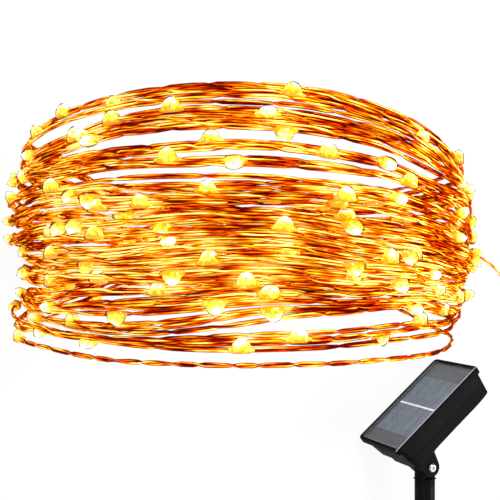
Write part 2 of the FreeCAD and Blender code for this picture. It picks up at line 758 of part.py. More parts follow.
def make_board():
    """The control board, with its switches on the back and its larger components on the front."""
    board = new_body("board")
    edge = new_sketch(board, "board_edge", "XY_Plane", BOARD_BACK)
    sides = (BOARD_LOW, BOARD_LOW + " + board_length", "-board_width / 2", "board_width / 2")
    rounded_rectangle(edge, "board", *sides, "1")
    pad(board, "board_sheet", edge, "board_thickness")
    holes = new_sketch(board, "board_holes", "XY_Plane", BOARD_BACK)
    for k, (x, y) in enumerate(BOARD_SCREWS):
        circle(holes, "hole_%d" % k, x, y, "board_screw_radius + slack")
    pocket(board, "board_drilling", holes, "board_thickness", back=True)
    kept(board, "circuit_board", HEAD)
    switch = new_body("switch")
    case = new_sketch(switch, "switch_case", "XY_Plane")
    half = "switch_size / 2"
    rounded_rectangle(case, "case", "-" + half, half, "-" + half, half, "0.4")
    pad(switch, "switch_block", case, "switch_height")
    tip = new_sketch(switch, "switch_tip", "XY_Plane", "switch_height")
    circle(tip, "plunger", "0", "0", "plunger_radius")
    pad(switch, "switch_plunger", tip, "plunger_height")
    rows = ("power_across", "mode_across")
    places = [upright("button_along", across, BOARD_BACK, turned_over=True) for across in rows]
    group("push_switches", switch.Shape, places, HEAD)
    head = ("board_screw_head", "board_screw_head_height")
    screw = screw_body("board_screw", *head, "board_screw_radius", "board_screw_length", None)
    face = BOARD_BACK + " + board_thickness"
    group("board_screws", screw.Shape, [upright(x, y, face) for x, y in BOARD_SCREWS], HEAD)
    parts = []
    for k, (x, y, long, wide, tall) in enumerate(COMPONENTS):
        low = ("button_along + %s - %s / 2" % (x, long), "%s - %s / 2" % (y, wide), face)
        high = ("button_along + %s + %s / 2" % (x, long), "%s + %s / 2" % (y, wide), face + " + %s" % tall)
        parts.append(box("component_%d" % k, low, high))
    thing = doc.addObject("Part::Compound", "components")
    thing.Links = parts
    kept(thing, "board_components", HEAD)


def make_battery():
    """One rechargeable cell in the raised back, between a sprung contact and a plain one."""
    cell = turned_body("battery", [
        ("0", "0"),
        ("battery_radius", "0"),
        ("battery_radius", "battery_length"),
        ("battery_nub_radius", "battery_length"),
        ("battery_nub_radius", "battery_length + battery_nub_height"),
        ("0", "battery_length + battery_nub_height"),
    ])
    start = "(hump_hinge_end + wall + hump_draft + contact_thickness + spring_length)"
    lying = Placement(Vector(size(start), 0, size(CELL_AXIS)), Rotation(Vector(0, 1, 0), 90))
    kept(cell, "battery_cell", HEAD.multiply(lying))
    spring = turned_body("spring", [
        ("0", "-spring_length - contact_thickness"),
        ("contact_height / 2", "-spring_length - contact_thickness"),
        ("contact_height / 2", "-spring_length"),
        ("spring_foot", "-spring_length"),
        ("spring_tip", "-slack"),
        ("0", "-slack"),
    ])
    kept(spring, "spring_contact", HEAD.multiply(lying))
    tip = "battery_length + battery_nub_height + slack"
    tab = turned_body("tab", [
        ("0", tip),
        ("contact_height / 2", tip),
        ("contact_height / 2", tip + " + contact_thickness"),
        ("0", tip + " + contact_thickness"),
    ])
    kept(tab, "plain_contact", HEAD.multiply(lying))


def make_buttons():
    """Two sprung caps that stand out of the back, each held in by a flange."""
    stem = "button_flange_height + button_gap + wall"
    cap = turned_body("button", [
        ("0", "0"),
        ("button_flange", "0"),
        ("button_flange", "button_flange_height"),
        ("button_radius", "button_flange_height"),
        ("button_radius", stem + " + button_rise - button_bevel"),
        ("button_radius - button_bevel", stem + " + button_rise"),
        ("0", stem + " + button_rise"),
    ])
    inside = "-(body_depth - wall - button_gap - button_flange_height)"
    for label, across in (("power_button", "power_across"), ("mode_button", "mode_across")):
        group(label, cap.Shape, [upright("button_along", across, inside, turned_over=True)], HEAD)


def make_gland():
    """The tapered relief that the string leaves the head by."""
    neck = "gland_radius"
    body = turned_body("gland", [
        ("0", "-wall - gland_catch_height"),
        (neck + " + gland_catch", "-wall - gland_catch_height"),
        (neck + " + gland_catch", "-wall"),
        (neck, "-wall"),
        (neck, "0"),
        ("gland_flange", "0"),
        ("gland_flange", "gland_flange_height"),
        (neck, "gland_flange_height"),
        ("gland_tip", "gland_length"),
        ("0", "gland_length"),
    ])
    seat = upright("gland_along", "gland_across", "-body_depth", turned_over=True)
    kept(body, "cable_gland", HEAD.multiply(seat))


# ---------------------------------------------------------------- the stake
def make_knuckle():
    """Top of the stem: flats between the ears, a rounded end, a collar and a plug."""
    body = new_body("knuckle")
    sketch = new_sketch(body, "collar_circle", "XY_Plane", "-(shoulder_below + collar_height)")
    circle(sketch, "collar", "0", "0", "stem_radius")
    pad(body, "collar", sketch, "collar_height")
    round_end = "(stem_radius - tongue_inset)"
    radius = size(round_end)
    low = size("-shoulder_below - 1")
    tongue = new_sketch(body, "tongue_side", "YZ_Plane", "-knuckle_width / 2")
    rise = add_line(tongue, (radius, low), (radius, 0))
    nose = add_arc(tongue, (0, 0), radius, 0, 180)
    fall = add_line(tongue, (-radius, 0), (-radius, low))
    foot = add_line(tongue, (-radius, low), (radius, low))
    tongue.addConstraint(Sketcher.Constraint("Tangent", rise, 2, nose, 1))
    tongue.addConstraint(Sketcher.Constraint("Tangent", nose, 2, fall, 1))
    tongue.addConstraint(Sketcher.Constraint("Coincident", fall, 2, foot, 1))
    tongue.addConstraint(Sketcher.Constraint("Coincident", foot, 2, rise, 1))
    pin_point(tongue, "bolt", nose, 3, "0", "0")
    dimension(tongue, "nose_radius", round_end, "Radius", nose)
    pin_point(tongue, "foot_right", foot, 2, round_end, "-shoulder_below - 1")
    dimension(tongue, "foot_left", "-" + round_end, "DistanceX", -1, 1, foot, 1)
    tongue.addConstraint(Sketcher.Constraint("Horizontal", foot))
    pad(body, "tongue", tongue, "knuckle_width")
    plug = new_sketch(body, "plug_circle", "XY_Plane", "-(shoulder_below + collar_height)")
    circle(plug, "plug", "0", "0", "stem_radius - stem_wall - plug_clearance")
    pad(body, "plug", plug, "plug_length", back=True)
    trim = new_sketch(body, "stem_circle", "XZ_Plane")
    polygon(trim, "trim", [
        ("stem_radius", "-(shoulder_below + 0.5)"),
        ("2 * stem_radius", "-(shoulder_below + 0.5)"),
        ("2 * stem_radius", "2 * stem_radius"),
        ("stem_radius", "2 * stem_radius"),
    ])
    turn(body, "tongue_trim", trim, "Groove")
    bore = new_sketch(body, "bolt_eye", "YZ_Plane", "-stem_radius")
    circle(bore, "eye", "0", "0", "bolt_radius + bolt_clearance")
    pocket(body, "bolt_eye_cut", bore, "2 * stem_radius", back=True)
    return kept(body, "stem_knuckle", STAKE)


STEM_TOP = "-(shoulder_below + collar_height)"
STEM_FOOT = "(%s - stem_length)" % STEM_TOP


def make_stem():
    inner = "stem_radius - stem_wall"
    body = turned_body("stem", [
        (inner, STEM_FOOT),
        ("stem_radius", STEM_FOOT),
        ("stem_radius", STEM_TOP),
        (inner, STEM_TOP),
    ])
    return kept(body, "stem_tube", STAKE)


def make_spike():
    """Ground spike: a collar with a socket for the stem over four fins that taper to a point."""
    body = new_body("spike")
    top = "(%s + spike_socket_depth)" % STEM_FOOT
    base = "(%s - spike_collar_height)" % top
    tip = "(%s - spike_length)" % base
    sketch = new_sketch(body, "collar_outline", "XZ_Plane")
    polygon(sketch, "spike_collar", [
        ("0", base),
        ("spike_collar_radius - 1", base),
        ("spike_collar_radius", base + " + 3"),
        ("spike_collar_radius", top + " - 3"),
        ("spike_collar_radius - 0.9", top),
        ("0", top),
    ])
    turn(body, "spike_collar", sketch)
    core = new_sketch(body, "core_outline", "XZ_Plane")
    polygon(core, "core", [
        ("0", base + " + 1"),
        ("0", tip + " + core_tip_height"),
        ("core_tip_radius", tip + " + core_tip_height"),
        ("core_radius", base + " + 1"),
    ])
    turn(body, "core_taper", core)
    for k, role in enumerate(("XZ_Plane", "YZ_Plane")):
        fin = new_sketch(body, "fin_side_%d" % k, role, "-fin_thickness / 2")
        polygon(fin, "fin_%d" % k, [
            ("0", tip),
            ("fin_tip_reach", tip + " + fin_tip_height"),
            ("fin_reach", base + " - fin_widest_below"),
            ("fin_reach - fin_shoulder", base + " + bite"),
            ("-(fin_reach - fin_shoulder)", base + " + bite"),
            ("-fin_reach", base + " - fin_widest_below"),
            ("-fin_tip_reach", tip + " + fin_tip_height"),
        ])
        pad(body, "fin_%d" % k, fin, "fin_thickness")
    socket = new_sketch(body, "socket_circle", "XY_Plane", top)
    circle(socket, "socket", "0", "0", "stem_radius + plug_clearance")
    pocket(body, "socket", socket, "spike_socket_depth")
    return kept(body, "ground_spike", STAKE)


# ---------------------------------------------------------------- the string
WIRE_SIDES = 8


def wire_ring(radius, corners):
    """A wire's plain many-sided section, square to its first run."""
    run = (corners[1] - corners[0]).normalize()
    side = run.cross(Vector(0, 0, 1)).normalize()
    up = side.cross(run)
    angles = [2 * math.pi * k / WIRE_SIDES for k in range(WIRE_SIDES + 1)]
    spokes = [side * math.cos(angle) + up * math.sin(angle) for angle in angles]
    return Part.makePolygon([corners[0] + spoke * radius for spoke in spokes])


def tube(label, points, radius):
    """A wire of straight runs joined by tangent arcs, each as large as its two runs allow."""
    corners = [Vector(*point) for point in points]
    edges = []
    start = corners[0]
    length = 0.0
    least = 1e9
    for before, corner, after in zip(corners, corners[1:], corners[2:]):
        one, two = before - corner, after - corner
        turn_angle = math.pi - one.getAngle(two)
        shorter = min(one.Length, two.Length)
        reach = 0.45 * shorter
        bend = reach / math.tan(turn_angle / 2)
        first = corner + Vector(one).normalize() * reach
        last = corner + Vector(two).normalize() * reach
        to_middle = (Vector(one).normalize() + Vector(two).normalize()).normalize()
        middle = corner + to_middle * (math.hypot(reach, bend) - bend)
        edges.append(Part.LineSegment(start, first).toShape())
        edges.append(Part.Arc(first, middle, last).toShape())
        length += (first - start).Length + bend * turn_angle
        start = last
        least = min(least, bend)
        print("%s bend radius %.1f mm" % (label, bend))
    edges.append(Part.LineSegment(start, corners[-1]).toShape())
    length += (corners[-1] - start).Length
    path = Part.Wire(edges)
    solid = path.makePipeShell([wire_ring(radius, corners)], True, False)
    wanted = WIRE_SIDES / 2 * math.sin(2 * math.pi / WIRE_SIDES) * radius**2 * length
    share = solid.Volume / wanted
    print("%s length %.1f mm, least bend %.1f mm, volume %.5f of the wanted" % (label, length, least, share))
    if abs(share - 1) > 0.01:
        raise RuntimeError(label + " isn't a clean tube")
    return solid


# Wires inside the head, in its own frame: panel to board, cell contacts to board, board to string.
INNER_WIRES = [
    [(4, 3, -2.9), (4, 3, -6.2), (8.5, 3, -8.4), (16, 2.6, -8.6), (22.6, 2, -10), (24.6, 1.6, -12.4),
     (24.6, 1.6, -14.6)],
    [(4, -3, -2.9), (4, -3, -6.2), (8.5, -3, -8.4), (16, -2.6, -8.6), (22.6, -2, -10),
     (24.6, -1.6, -12.4), (24.6, -1.6, -14.6)],
    [(20.15, 3, -12.5), (20.2, 3.4, -11), (21.8, 5.6, -9.9), (24.4, 7.6, -11.4), (24.6, 8, -13),
     (24.6, 8, -14.6)],
    [(-32.2, -3, -12.5), (-32.3, -4, -10.6), (-30, -7, -9.6), (-20, -8.6, -9.8), (-6, -9, -9.8),
     (8, -8.6, -9.8), (19, -7.4, -10), (24.2, -6, -11.8), (24.6, -5.6, -13), (24.6, -5.6, -14.6)],
    [(31.8, 12, -19.1), (31.8, 12, -18.5), (31.8, 11, -17.5), (31.8, 9.5, -17), (31.8, 9.2, -16.4)],
    [(30.2, 12, -19.1), (30.2, 12, -18.5), (30.2, 11, -17.5), (30.2, 9.5, -17), (30.2, 9.2, -16.4)],
]


def bent_wire(points, radius):
    """A short stiff wire with mitred bends."""
    corners = [Vector(*point) for point in points]
    side = radius / math.sqrt(2)
    run = (corners[1] - corners[0]).normalize()
    across = run.cross(Vector(1, 1, 1)).normalize() * side
    other = run.cross(across).normalize() * side
    spots = (across + other, across - other, -across - other, other - across, across + other)
    ring = Part.makePolygon([corners[0] + spot for spot in spots])
    return Part.makePolygon(corners).makePipeShell([ring], True, False, 1)


def make_inner_wires():
    wires = [bent_wire(points, size("inner_wire_radius")) for points in INNER_WIRES]
    thing = doc.addObject("Part::Feature", "inner_wires")
    thing.Shape = Part.makeCompound(wires)
    return kept(thing, "inner_wires", HEAD)


def make_lead():
    thing = doc.addObject("Part::Feature", "string_lead")
    thing.Shape = tube("string_lead", LEAD_ROUTE, size("wire_diameter / 2"))
    return kept(thing, "string_lead", Placement())


# The coil's own frame: its axis along Z, which lies along Y on the table.
COIL = Placement(
    Vector(size("coil_x"), size("coil_y"), size("coil_radius")),
    Rotation(Vector(0, 0, 1), Vector(1, 0, 0), Vector(0, 1, 0), "ZXY"),
)


def barrel(name, radius):
    """A barrel of flat panels between many-sided rings, fullest at its middle."""
    rings = []
    for k, (share, drop) in enumerate(((-1, 1), (-0.6, 0.36), (-0.2, 0), (0.2, 0), (0.6, 0.36), (1, 1))):
        ring = doc.addObject("Part::RegularPolygon", "%s_ring_%d" % (name, k))
        ring.Polygon = 48
        bind(ring, "Circumradius", "%s - coil_barrel * %s" % (radius, drop))
        bind(ring, "Placement.Base.z", "coil_half_length * %s" % share)
        rings.append(ring)
    skin = doc.addObject("Part::Loft", name)
    skin.Sections = rings
    skin.Solid = True
    skin.Ruled = True
    return skin


def make_coil():
    """The hank's outer shape: a thin barrel of wire."""
    wall = doc.addObject("Part::Cut", "coil")
    wall.Base = barrel("coil_outside", "coil_radius")
    wall.Tool = barrel("coil_inside", "(coil_radius - coil_wall)")
    doc.recompute()
    return kept(wall, "string_coil", COIL)


def drop_shape():
    """One clear drop on the wire, along its own Z: two six-sided tapers, base to base."""
    half, radius = size("drop_length / 2"), size("drop_radius")
    angles = [k * math.pi / 3 for k in range(6)]
    ring = [Vector(radius * math.cos(angle), radius * math.sin(angle), 0) for angle in angles]
    belt = Part.makePolygon(ring + ring[:1])
    ends = [Part.Vertex(Vector(0, 0, -half)), Part.Vertex(Vector(0, 0, half))]
    return Part.makeLoft([ends[0], belt, ends[1]], True, True)


def make_drops():
    """The light drops, evenly spaced along the wound wire inside the barrel's wall."""
    drop = drop_shape()
    count, turns = int(size("drop_count")), size("drop_turns")
    half, rise = size("coil_half_length - drop_radius - 1"), size("coil_barrel")
    places = []
    for k in range(count):
        share = (k + 0.5) / count
        angle = 2 * math.pi * turns * share
        height = half * math.sin(math.pi * (share - 0.5)) * 0.98
        level = size("coil_radius - coil_wall / 2") - rise * (height / size("coil_half_length")) ** 2
        spot = Vector(level * math.cos(angle), level * math.sin(angle), height)
        tangent = Vector(-math.sin(angle), math.cos(angle), 0)
        places.append(Placement(spot, Rotation(Vector(0, 0, 1), tangent)))
    group("light_drops", drop, places[:-1], COIL)
    group("end_drop", drop, places[-1:], COIL)


def make_tie():
    """Loops of bare wire that hold the strands together where they lie lowest."""
    body = new_body("tie")
    sketch = new_sketch(body, "tie_loops", "XY_Plane", "-tie_width / 2")
    for name, grow in (("tie_outer", "tie_wire"), ("tie_inner", "0")):
        across = "(tie_depth / 2 + %s)" % grow
        reach = "(tie_reach / 2 + %s)" % grow
        rounded_rectangle(sketch, name, "-" + across, across, "-" + reach, reach, "3 + %s" % grow)
    pad(body, "tie_band", sketch, "tie_width")
    angle = math.radians(size("tie_angle"))
    radial = Vector(math.cos(angle), 0, math.sin(angle))
    middle = Vector(size("coil_x"), size("coil_y"), size("coil_radius")) + radial * size("coil_radius - 8")
    turned = Rotation(radial, Vector(0, 1, 0), radial.cross(Vector(0, 1, 0)), "ZXY")
    return kept(body, "coil_tie", Placement(middle, turned))


make_front_shell()
make_rear_shell()
make_seal()
make_panel()
make_fasteners()
make_board()
make_battery()
make_buttons()
make_gland()
make_knuckle()
make_stem()
make_spike()
make_inner_wires()
make_lead()
make_coil()
make_drops()
make_tie()
doc.recompute()

# ---------------------------------------------------------------- checks and export
for thing in doc.Objects:
    if "Invalid" in thing.State or "Error" in thing.State:
        raise RuntimeError("%s is %s" % (thing.Label, thing.State))
os.makedirs("parts", exist_ok=True)
for node in nodes:
    shape = node.Shape
    if shape.isNull() or not shape.isValid():
        raise RuntimeError(node.Label + " has no valid shape")
    print("%-18s %2d solids %10.1f mm3" % (node.Label, len(shape.Solids), shape.Volume))
for node in nodes:
    node.Shape.exportStep("parts/%s.step" % node.Label)
print("%d sub-parts written" % len(nodes))
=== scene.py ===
"""Solar string lights on a white table: a coil of copper wire with light drops, and a solar head."""
import logging
import math
import random
from bisect import bisect_right
from dataclasses import dataclass, field
from enum import Enum
from typing import Any, Sequence

import bmesh
import bpy
from mathutils import Matrix, Quaternion, Vector, kdtree, noise


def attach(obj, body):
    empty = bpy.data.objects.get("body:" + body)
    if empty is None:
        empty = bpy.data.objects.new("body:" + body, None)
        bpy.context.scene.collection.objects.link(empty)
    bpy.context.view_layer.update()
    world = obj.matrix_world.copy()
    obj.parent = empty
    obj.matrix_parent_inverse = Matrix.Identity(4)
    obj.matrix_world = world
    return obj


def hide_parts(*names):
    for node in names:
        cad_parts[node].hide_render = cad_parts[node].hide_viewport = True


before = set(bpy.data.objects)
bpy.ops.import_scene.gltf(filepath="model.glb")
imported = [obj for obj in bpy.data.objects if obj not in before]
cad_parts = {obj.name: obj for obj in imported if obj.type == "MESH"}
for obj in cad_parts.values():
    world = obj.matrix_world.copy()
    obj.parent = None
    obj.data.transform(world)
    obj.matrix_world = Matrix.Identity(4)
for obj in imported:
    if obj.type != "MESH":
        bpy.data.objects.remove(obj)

LOG = logging.getLogger("string_lights")
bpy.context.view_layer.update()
MM = 0.001

Colour = tuple[float, float, float]
Place = tuple[float, float, float]

# The wire's free stretch in the table's frame, from the gland in the head's back to the coil, in millimetres.
# Its second to sixth points lie up to 9 mm nearer the hinge than the CAD tube's, behind the head.
LEAD_ROUTE = (
    (41.68, -3.80, 11.0), (45.9, -10.6, 9.2), (43.8, -19.0, 3.0), (36.5, -31.0, 0.9), (28.5, -44.0, 0.9),
    (25.5, -60.0, 0.9), (25.5, -77.0, 0.9), (26.0, -99.0, 0.9), (32.5, -119.0, 0.9), (48.0, -134.0, 0.9),
    (69.0, -139.0, 0.9), (89.5, -132.5, 0.9), (104.5, -116.5, 0.9), (111.5, -93.0, 0.9), (111.8, -58.0, 0.9),
    (112.0, -10.0, 0.9), (111.6, 36.0, 0.9), (108.5, 68.0, 0.9), (93.0, 93.0, 0.9), (62.0, 108.0, 0.9),
    (15.0, 113.0, 0.9), (-38.0, 113.5, 0.9), (-92.0, 110.5, 0.9), (-132.0, 112.0, 0.9), (-157.0, 115.0, 3.0),
)


class Facing(Enum):
    """Which way a drop's dome points across the photograph, in degrees from its right."""

    UP = 90.0
    DOWN = -90.0
    LEFT = 180.0
    RIGHT = 0.0
    UP_LEFT = 125.0
    UP_RIGHT = 55.0
    DOWN_LEFT = -130.0
    DOWN_RIGHT = -45.0


# Where larger drops lie in the photograph, in its own pixels, and which way each dome points.
DROP_SPOTS = (
    (61, 113, Facing.UP), (113, 105, Facing.UP), (110, 122, Facing.UP), (75, 137, Facing.UP),
    (172, 105, Facing.UP), (167, 161, Facing.UP), (32, 154, Facing.LEFT), (25, 182, Facing.UP_LEFT),
    (13, 197, Facing.UP_LEFT), (22, 218, Facing.UP), (53, 187, Facing.UP), (88, 197, Facing.DOWN),
    (100, 210, Facing.UP), (128, 212, Facing.DOWN_RIGHT), (140, 207, Facing.UP), (51, 239, Facing.UP),
    (96, 241, Facing.UP_RIGHT), (166, 229, Facing.DOWN), (52, 258, Facing.UP), (86, 261, Facing.DOWN),
    (54, 288, Facing.UP), (97, 283, Facing.UP), (160, 296, Facing.UP), (42, 326, Facing.DOWN_LEFT),
    (71, 326, Facing.UP), (118, 313, Facing.DOWN), (291, 95, Facing.UP), (288, 131, Facing.DOWN),
    (208, 139, Facing.UP), (283, 228, Facing.UP), (288, 249, Facing.UP), (208, 258, Facing.UP),
    (248, 286, Facing.UP), (217, 302, Facing.DOWN), (275, 307, Facing.DOWN), (244, 352, Facing.UP),
    (300, 337, Facing.UP), (420, 140, Facing.UP), (458, 159, Facing.UP), (411, 183, Facing.UP),
    (399, 199, Facing.RIGHT), (348, 198, Facing.UP), (344, 219, Facing.UP), (356, 222, Facing.DOWN_RIGHT),
    (473, 219, Facing.DOWN), (475, 250, Facing.RIGHT), (454, 241, Facing.RIGHT), (392, 264, Facing.UP),
    (413, 257, Facing.UP), (356, 266, Facing.DOWN), (351, 276, Facing.UP), (430, 275, Facing.RIGHT),
    (415, 304, Facing.DOWN_RIGHT), (458, 303, Facing.UP), (420, 320, Facing.UP), (380, 334, Facing.DOWN),
    (337, 204, Facing.UP), (210, 193, Facing.UP),
)


# ---------------------------------------------------------------- node trees
class Channel:
    """A node's output that Python's operators add Math nodes to."""

    def __init__(self, nodes: "Nodes", socket: bpy.types.NodeSocket) -> None:
        """Keeps the socket and the tree that it belongs to."""
        self.nodes = nodes
        self.socket = socket

    def _maths(self, operation: str, *values: Any, clamp: bool = False) -> "Channel":
        """Adds one Math node on these values."""
        return self.nodes.node("ShaderNodeMath", {"operation": operation, "use_clamp": clamp}, *values)

    def __add__(self, other: Any) -> "Channel":
        """Returns self plus other."""
        return self._maths("ADD", self, other)

    __radd__ = __add__

    def __sub__(self, other: Any) -> "Channel":
        """Returns self less other."""
        return self._maths("SUBTRACT", self, other)

    def __rsub__(self, other: Any) -> "Channel":
        """Returns other less self."""
        return self._maths("SUBTRACT", other, self)

    def __mul__(self, other: Any) -> "Channel":
        """Returns self times other."""
        return self._maths("MULTIPLY", self, other)

    __rmul__ = __mul__

    def __abs__(self) -> "Channel":
        """Returns self without its sign."""
        return self._maths("ABSOLUTE", self)

    def clamped(self) -> "Channel":
        """Returns self kept between 0 and 1."""
        return self._maths("ADD", self, 0.0, clamp=True)

    def above(self, level: float) -> "Channel":
        """Returns 1 where self is above a level, and 0 elsewhere."""
        return self._maths("GREATER_THAN", self, level)

    def waves(self, gap: float) -> "Channel":
        """Returns a sine wave that repeats each gap."""
        return self._maths("SINE", self * (2 * math.pi / gap))

    def spread(self, low: float, high: float, start: float = 0.0, end: float = 1.0) -> "Channel":
        """Maps self from low..high to start..end, smoothly.

        Args:
            low: the value that gives start.
            high: the value that gives end.
            start: the result at low.
            end: the result at high.

        Returns:
            The mapped value.
        """
        settings = {"interpolation_type": "SMOOTHSTEP"}
        return self.nodes.node("ShaderNodeMapRange", settings, self, low, high, start, end)

    def noise_to(self, start: float = 0.0, end: float = 1.0) -> "Channel":
        """Maps noise, which lies mostly between 0.3 and 0.7, to start..end."""
        return self.spread(0.3, 0.7, start, end)


class Nodes:
    """A node tree that is written as expressions."""

    def __init__(self, tree: bpy.types.NodeTree) -> None:
        """Empties the tree and keeps it."""
        self.tree = tree
        self.tree.nodes.clear()

    def node(self, kind: str, settings: dict[str, Any] | None = None, *values: Any,
             out: int | str = 0, **named: Any) -> Channel:
        """Adds one node.

        Args:
            kind: the node's type.
            settings: its own settings, set before its sockets; "stops" fills a ramp.
            values: values or channels of its first sockets, in order.
            out: the output to return, by index or name.
            named: values or channels by socket name, with underscores for spaces.

        Returns:
            The chosen output.
        """
        made = self.tree.nodes.new(kind)
        for key, value in (settings or {}).items():
            if key == "stops":
                self._fill_ramp(made, value)
            else:
                setattr(made, key, value)
        for socket, value in zip([socket for socket in made.inputs if socket.enabled], values):
            self._feed(socket, value)
        for key, value in named.items():
            self._feed(made.inputs[key.replace("_", " ")], value)
        outputs = [socket for socket in made.outputs if socket.enabled]
        return Channel(self, outputs[out] if isinstance(out, int) else made.outputs[out])

    @staticmethod
    def _fill_ramp(made: bpy.types.Node, stops: Sequence[tuple[float, Colour]]) -> None:
        """Gives a ramp its stops.

        Args:
            made: the ramp's node.
            stops: a place from 0 to 1 and a colour for each.
        """
        elements = made.color_ramp.elements
        while len(elements) < len(stops):
            elements.new(0.5)
        for element, (place, colour) in zip(elements, stops):
            element.position = place
            element.color = (*colour, 1.0)

    def _feed(self, socket: bpy.types.NodeSocket, value: Any) -> None:
        """Links channels to a socket, or sets its value.

        Args:
            socket: the input.
            value: a channel, a list of channels for a socket that takes several, or a plain value.
        """
        for part in value if isinstance(value, list) else [value]:
            if isinstance(part, Channel):
                self.tree.links.new(part.socket, socket)
            elif isinstance(part, tuple) and socket.type == "RGBA":
                socket.default_value = (*part, 1.0)
            else:
                socket.default_value = part

    def rays(self, *kinds: str) -> Channel:
        """Adds up which of these kinds a ray is.

        Args:
            kinds: the first words of Light Path's outputs.

        Returns:
            At least 1 for rays of these kinds, and 0 for the others.
        """
        first, *others = [self.node("ShaderNodeLightPath", out=f"Is {kind} Ray") for kind in kinds]
        for other in others:
            first = first + other
        return first

    def end(self, kind: str, last: Channel) -> None:
        """Ends the tree in an output node of this kind."""
        self.tree.links.new(last.socket, self.tree.nodes.new(kind).inputs[0])


class Sheet(Nodes):
    """The node tree of one material."""

    def __init__(self, name: str) -> None:
        """Makes an empty material.

        Args:
            name: its name.
        """
        self.material = bpy.data.materials.new(name)
        self.material.use_nodes = True
        super().__init__(self.material.node_tree)

    def place(self) -> Channel:
        """Returns the object's own coordinates."""
        return self.node("ShaderNodeTexCoord", out="Object")

    def stored(self, name: str, out: str = "Fac") -> Channel:
        """Returns a number stored on the mesh, or a place with "Vector"."""
        return self.node("ShaderNodeAttribute", {"attribute_name": name}, out=out)

    def grain(self, scale: float, detail: float = 2.0, rough: float = 0.5,
              vector: Channel | None = None) -> Channel:
        """Returns noise over the object's coordinates.

        Args:
            scale: how many grains a metre.
            detail: how many finer layers.
            rough: how strong the finer layers are.
            vector: other coordinates to use.

        Returns:
            The noise, mostly between 0.3 and 0.7.
        """
        return self.node("ShaderNodeTexNoise", None, Vector=vector or self.place(), Scale=scale,
                         Detail=detail, Roughness=rough)

    def mix(self, factor: Channel, first: Any, second: Any) -> Channel:
        """Mixes two colours by a factor."""
        return self.node("ShaderNodeMix", {"data_type": "RGBA"}, factor, first, second)

    def ramp(self, factor: Channel, *stops: tuple[float, Colour]) -> Channel:
        """Returns the colour at a factor between stops."""
        return self.node("ShaderNodeValToRGB", {"stops": stops}, factor)

    def bump(self, height: Channel, strength: float, distance: float) -> Channel:
        """Returns a normal raised by a height."""
        return self.node("ShaderNodeBump", None, Strength=strength, Distance=distance, Height=height)

    def surface(self, **sockets: Any) -> Channel:
        """Returns a Principled surface with these sockets set."""
        return self.node("ShaderNodeBsdfPrincipled", None, **sockets)

    def blend(self, factor: Channel, first: Channel, second: Channel) -> Channel:
        """Mixes two surfaces by a factor."""
        return self.node("ShaderNodeMixShader", None, factor, first, second)


# ---------------------------------------------------------------- finishes
@dataclass(frozen=True)
class Finish:
    """What every finish has.

    Args:
        name: the material's name.
    """

    name: str

    def build(self) -> bpy.types.Material:
        """Builds the finish.

        Returns:
            The material.
        """
        sheet = Sheet(self.name)
        sheet.end("ShaderNodeOutputMaterial", self.shader(sheet))
        return sheet.material

    def shader(self, sheet: Sheet) -> Channel:
        """Writes the surface on a material's sheet and returns it; each finish has its own."""
        raise NotImplementedError

    @staticmethod
    def shades(colour: Colour, *parts: float) -> list[Colour]:
        """Returns a colour dimmed or brightened by each part."""
        return [tuple(min(1.0, value * part) for value in colour) for part in parts]


@dataclass(frozen=True)
class MouldedPlastic(Finish):
    """Black moulded plastic with a fine spark-eroded grain.

    Args:
        dark: colour in the grain's hollows.
        light: colour on the grain's tops.
        rough: mean roughness.
        gloss: specular level.
        grain: grains a metre.
        relief: height of the grain in metres.
    """

    dark: Colour = (0.0026, 0.0027, 0.003)
    light: Colour = (0.0062, 0.0064, 0.007)
    rough: float = 0.42
    gloss: float = 0.012
    grain: float = 2600.0
    relief: float = 0.00004

    def tint(self, sheet: Sheet, colour: Channel) -> Channel:
        """Changes the colour in places; plain plastic has none."""
        return colour

    def shader(self, sheet: Sheet) -> Channel:
        """Writes fine grain under broad, faint changes of colour and polish.

        Args:
            sheet: the material's sheet.

        Returns:
            The surface.
        """
        fine = sheet.grain(self.grain, 3.0, 0.6)
        broad = sheet.grain(60.0)
        colour = sheet.mix((fine * 0.6 + broad * 0.4).noise_to(), self.dark, self.light)
        rough = (broad.noise_to(-0.05, 0.05) + fine.noise_to(-0.04, 0.04)) + self.rough
        return sheet.surface(Base_Color=self.tint(sheet, colour), Roughness=rough,
                             Specular_IOR_Level=self.gloss, Normal=sheet.bump(fine, 0.35, self.relief))


@dataclass(frozen=True)
class LippedPlastic(MouldedPlastic):
    """Black moulded plastic whose lip has a painted highlight along its inner edge beside the panel.

    Args:
        outward: direction out of the panel.
        face: how far out the lip's face lies, in metres.
        low: height of the painted highlight's lower side above the table, in metres.
        high: height of its other side.
        soft: how far it fades at both.
        painted_highlight: colour of the painted highlight.
    """

    outward: Place = (-0.6018, 0.7986, 0.0)
    face: float = 0.0016
    low: float = 0.0437
    high: float = 0.0443
    soft: float = 0.0003
    painted_highlight: Colour = (0.40, 0.41, 0.41)

    def tint(self, sheet: Sheet, colour: Channel) -> Channel:
        """Paints a highlight along the lip's inner edge, as a band of lighter colour.

        Args:
            sheet: the material's sheet.
            colour: the plain plastic's colour.

        Returns:
            The colour with the painted highlight.
        """
        place = sheet.place()
        out = sheet.node("ShaderNodeVectorMath", {"operation": "DOT_PRODUCT"}, place, self.outward,
                         out="Value")
        height = sheet.node("ShaderNodeSeparateXYZ", None, place, out="Z")
        # painted highlight: a band of lighter colour along the lip's inner edge, where a bevel would catch
        # the lamps
        band = (height.spread(self.low - self.soft, self.low)
                * height.spread(self.high, self.high + self.soft, 1.0, 0.0))
        return sheet.mix(band * out.above(self.face), colour, self.painted_highlight)


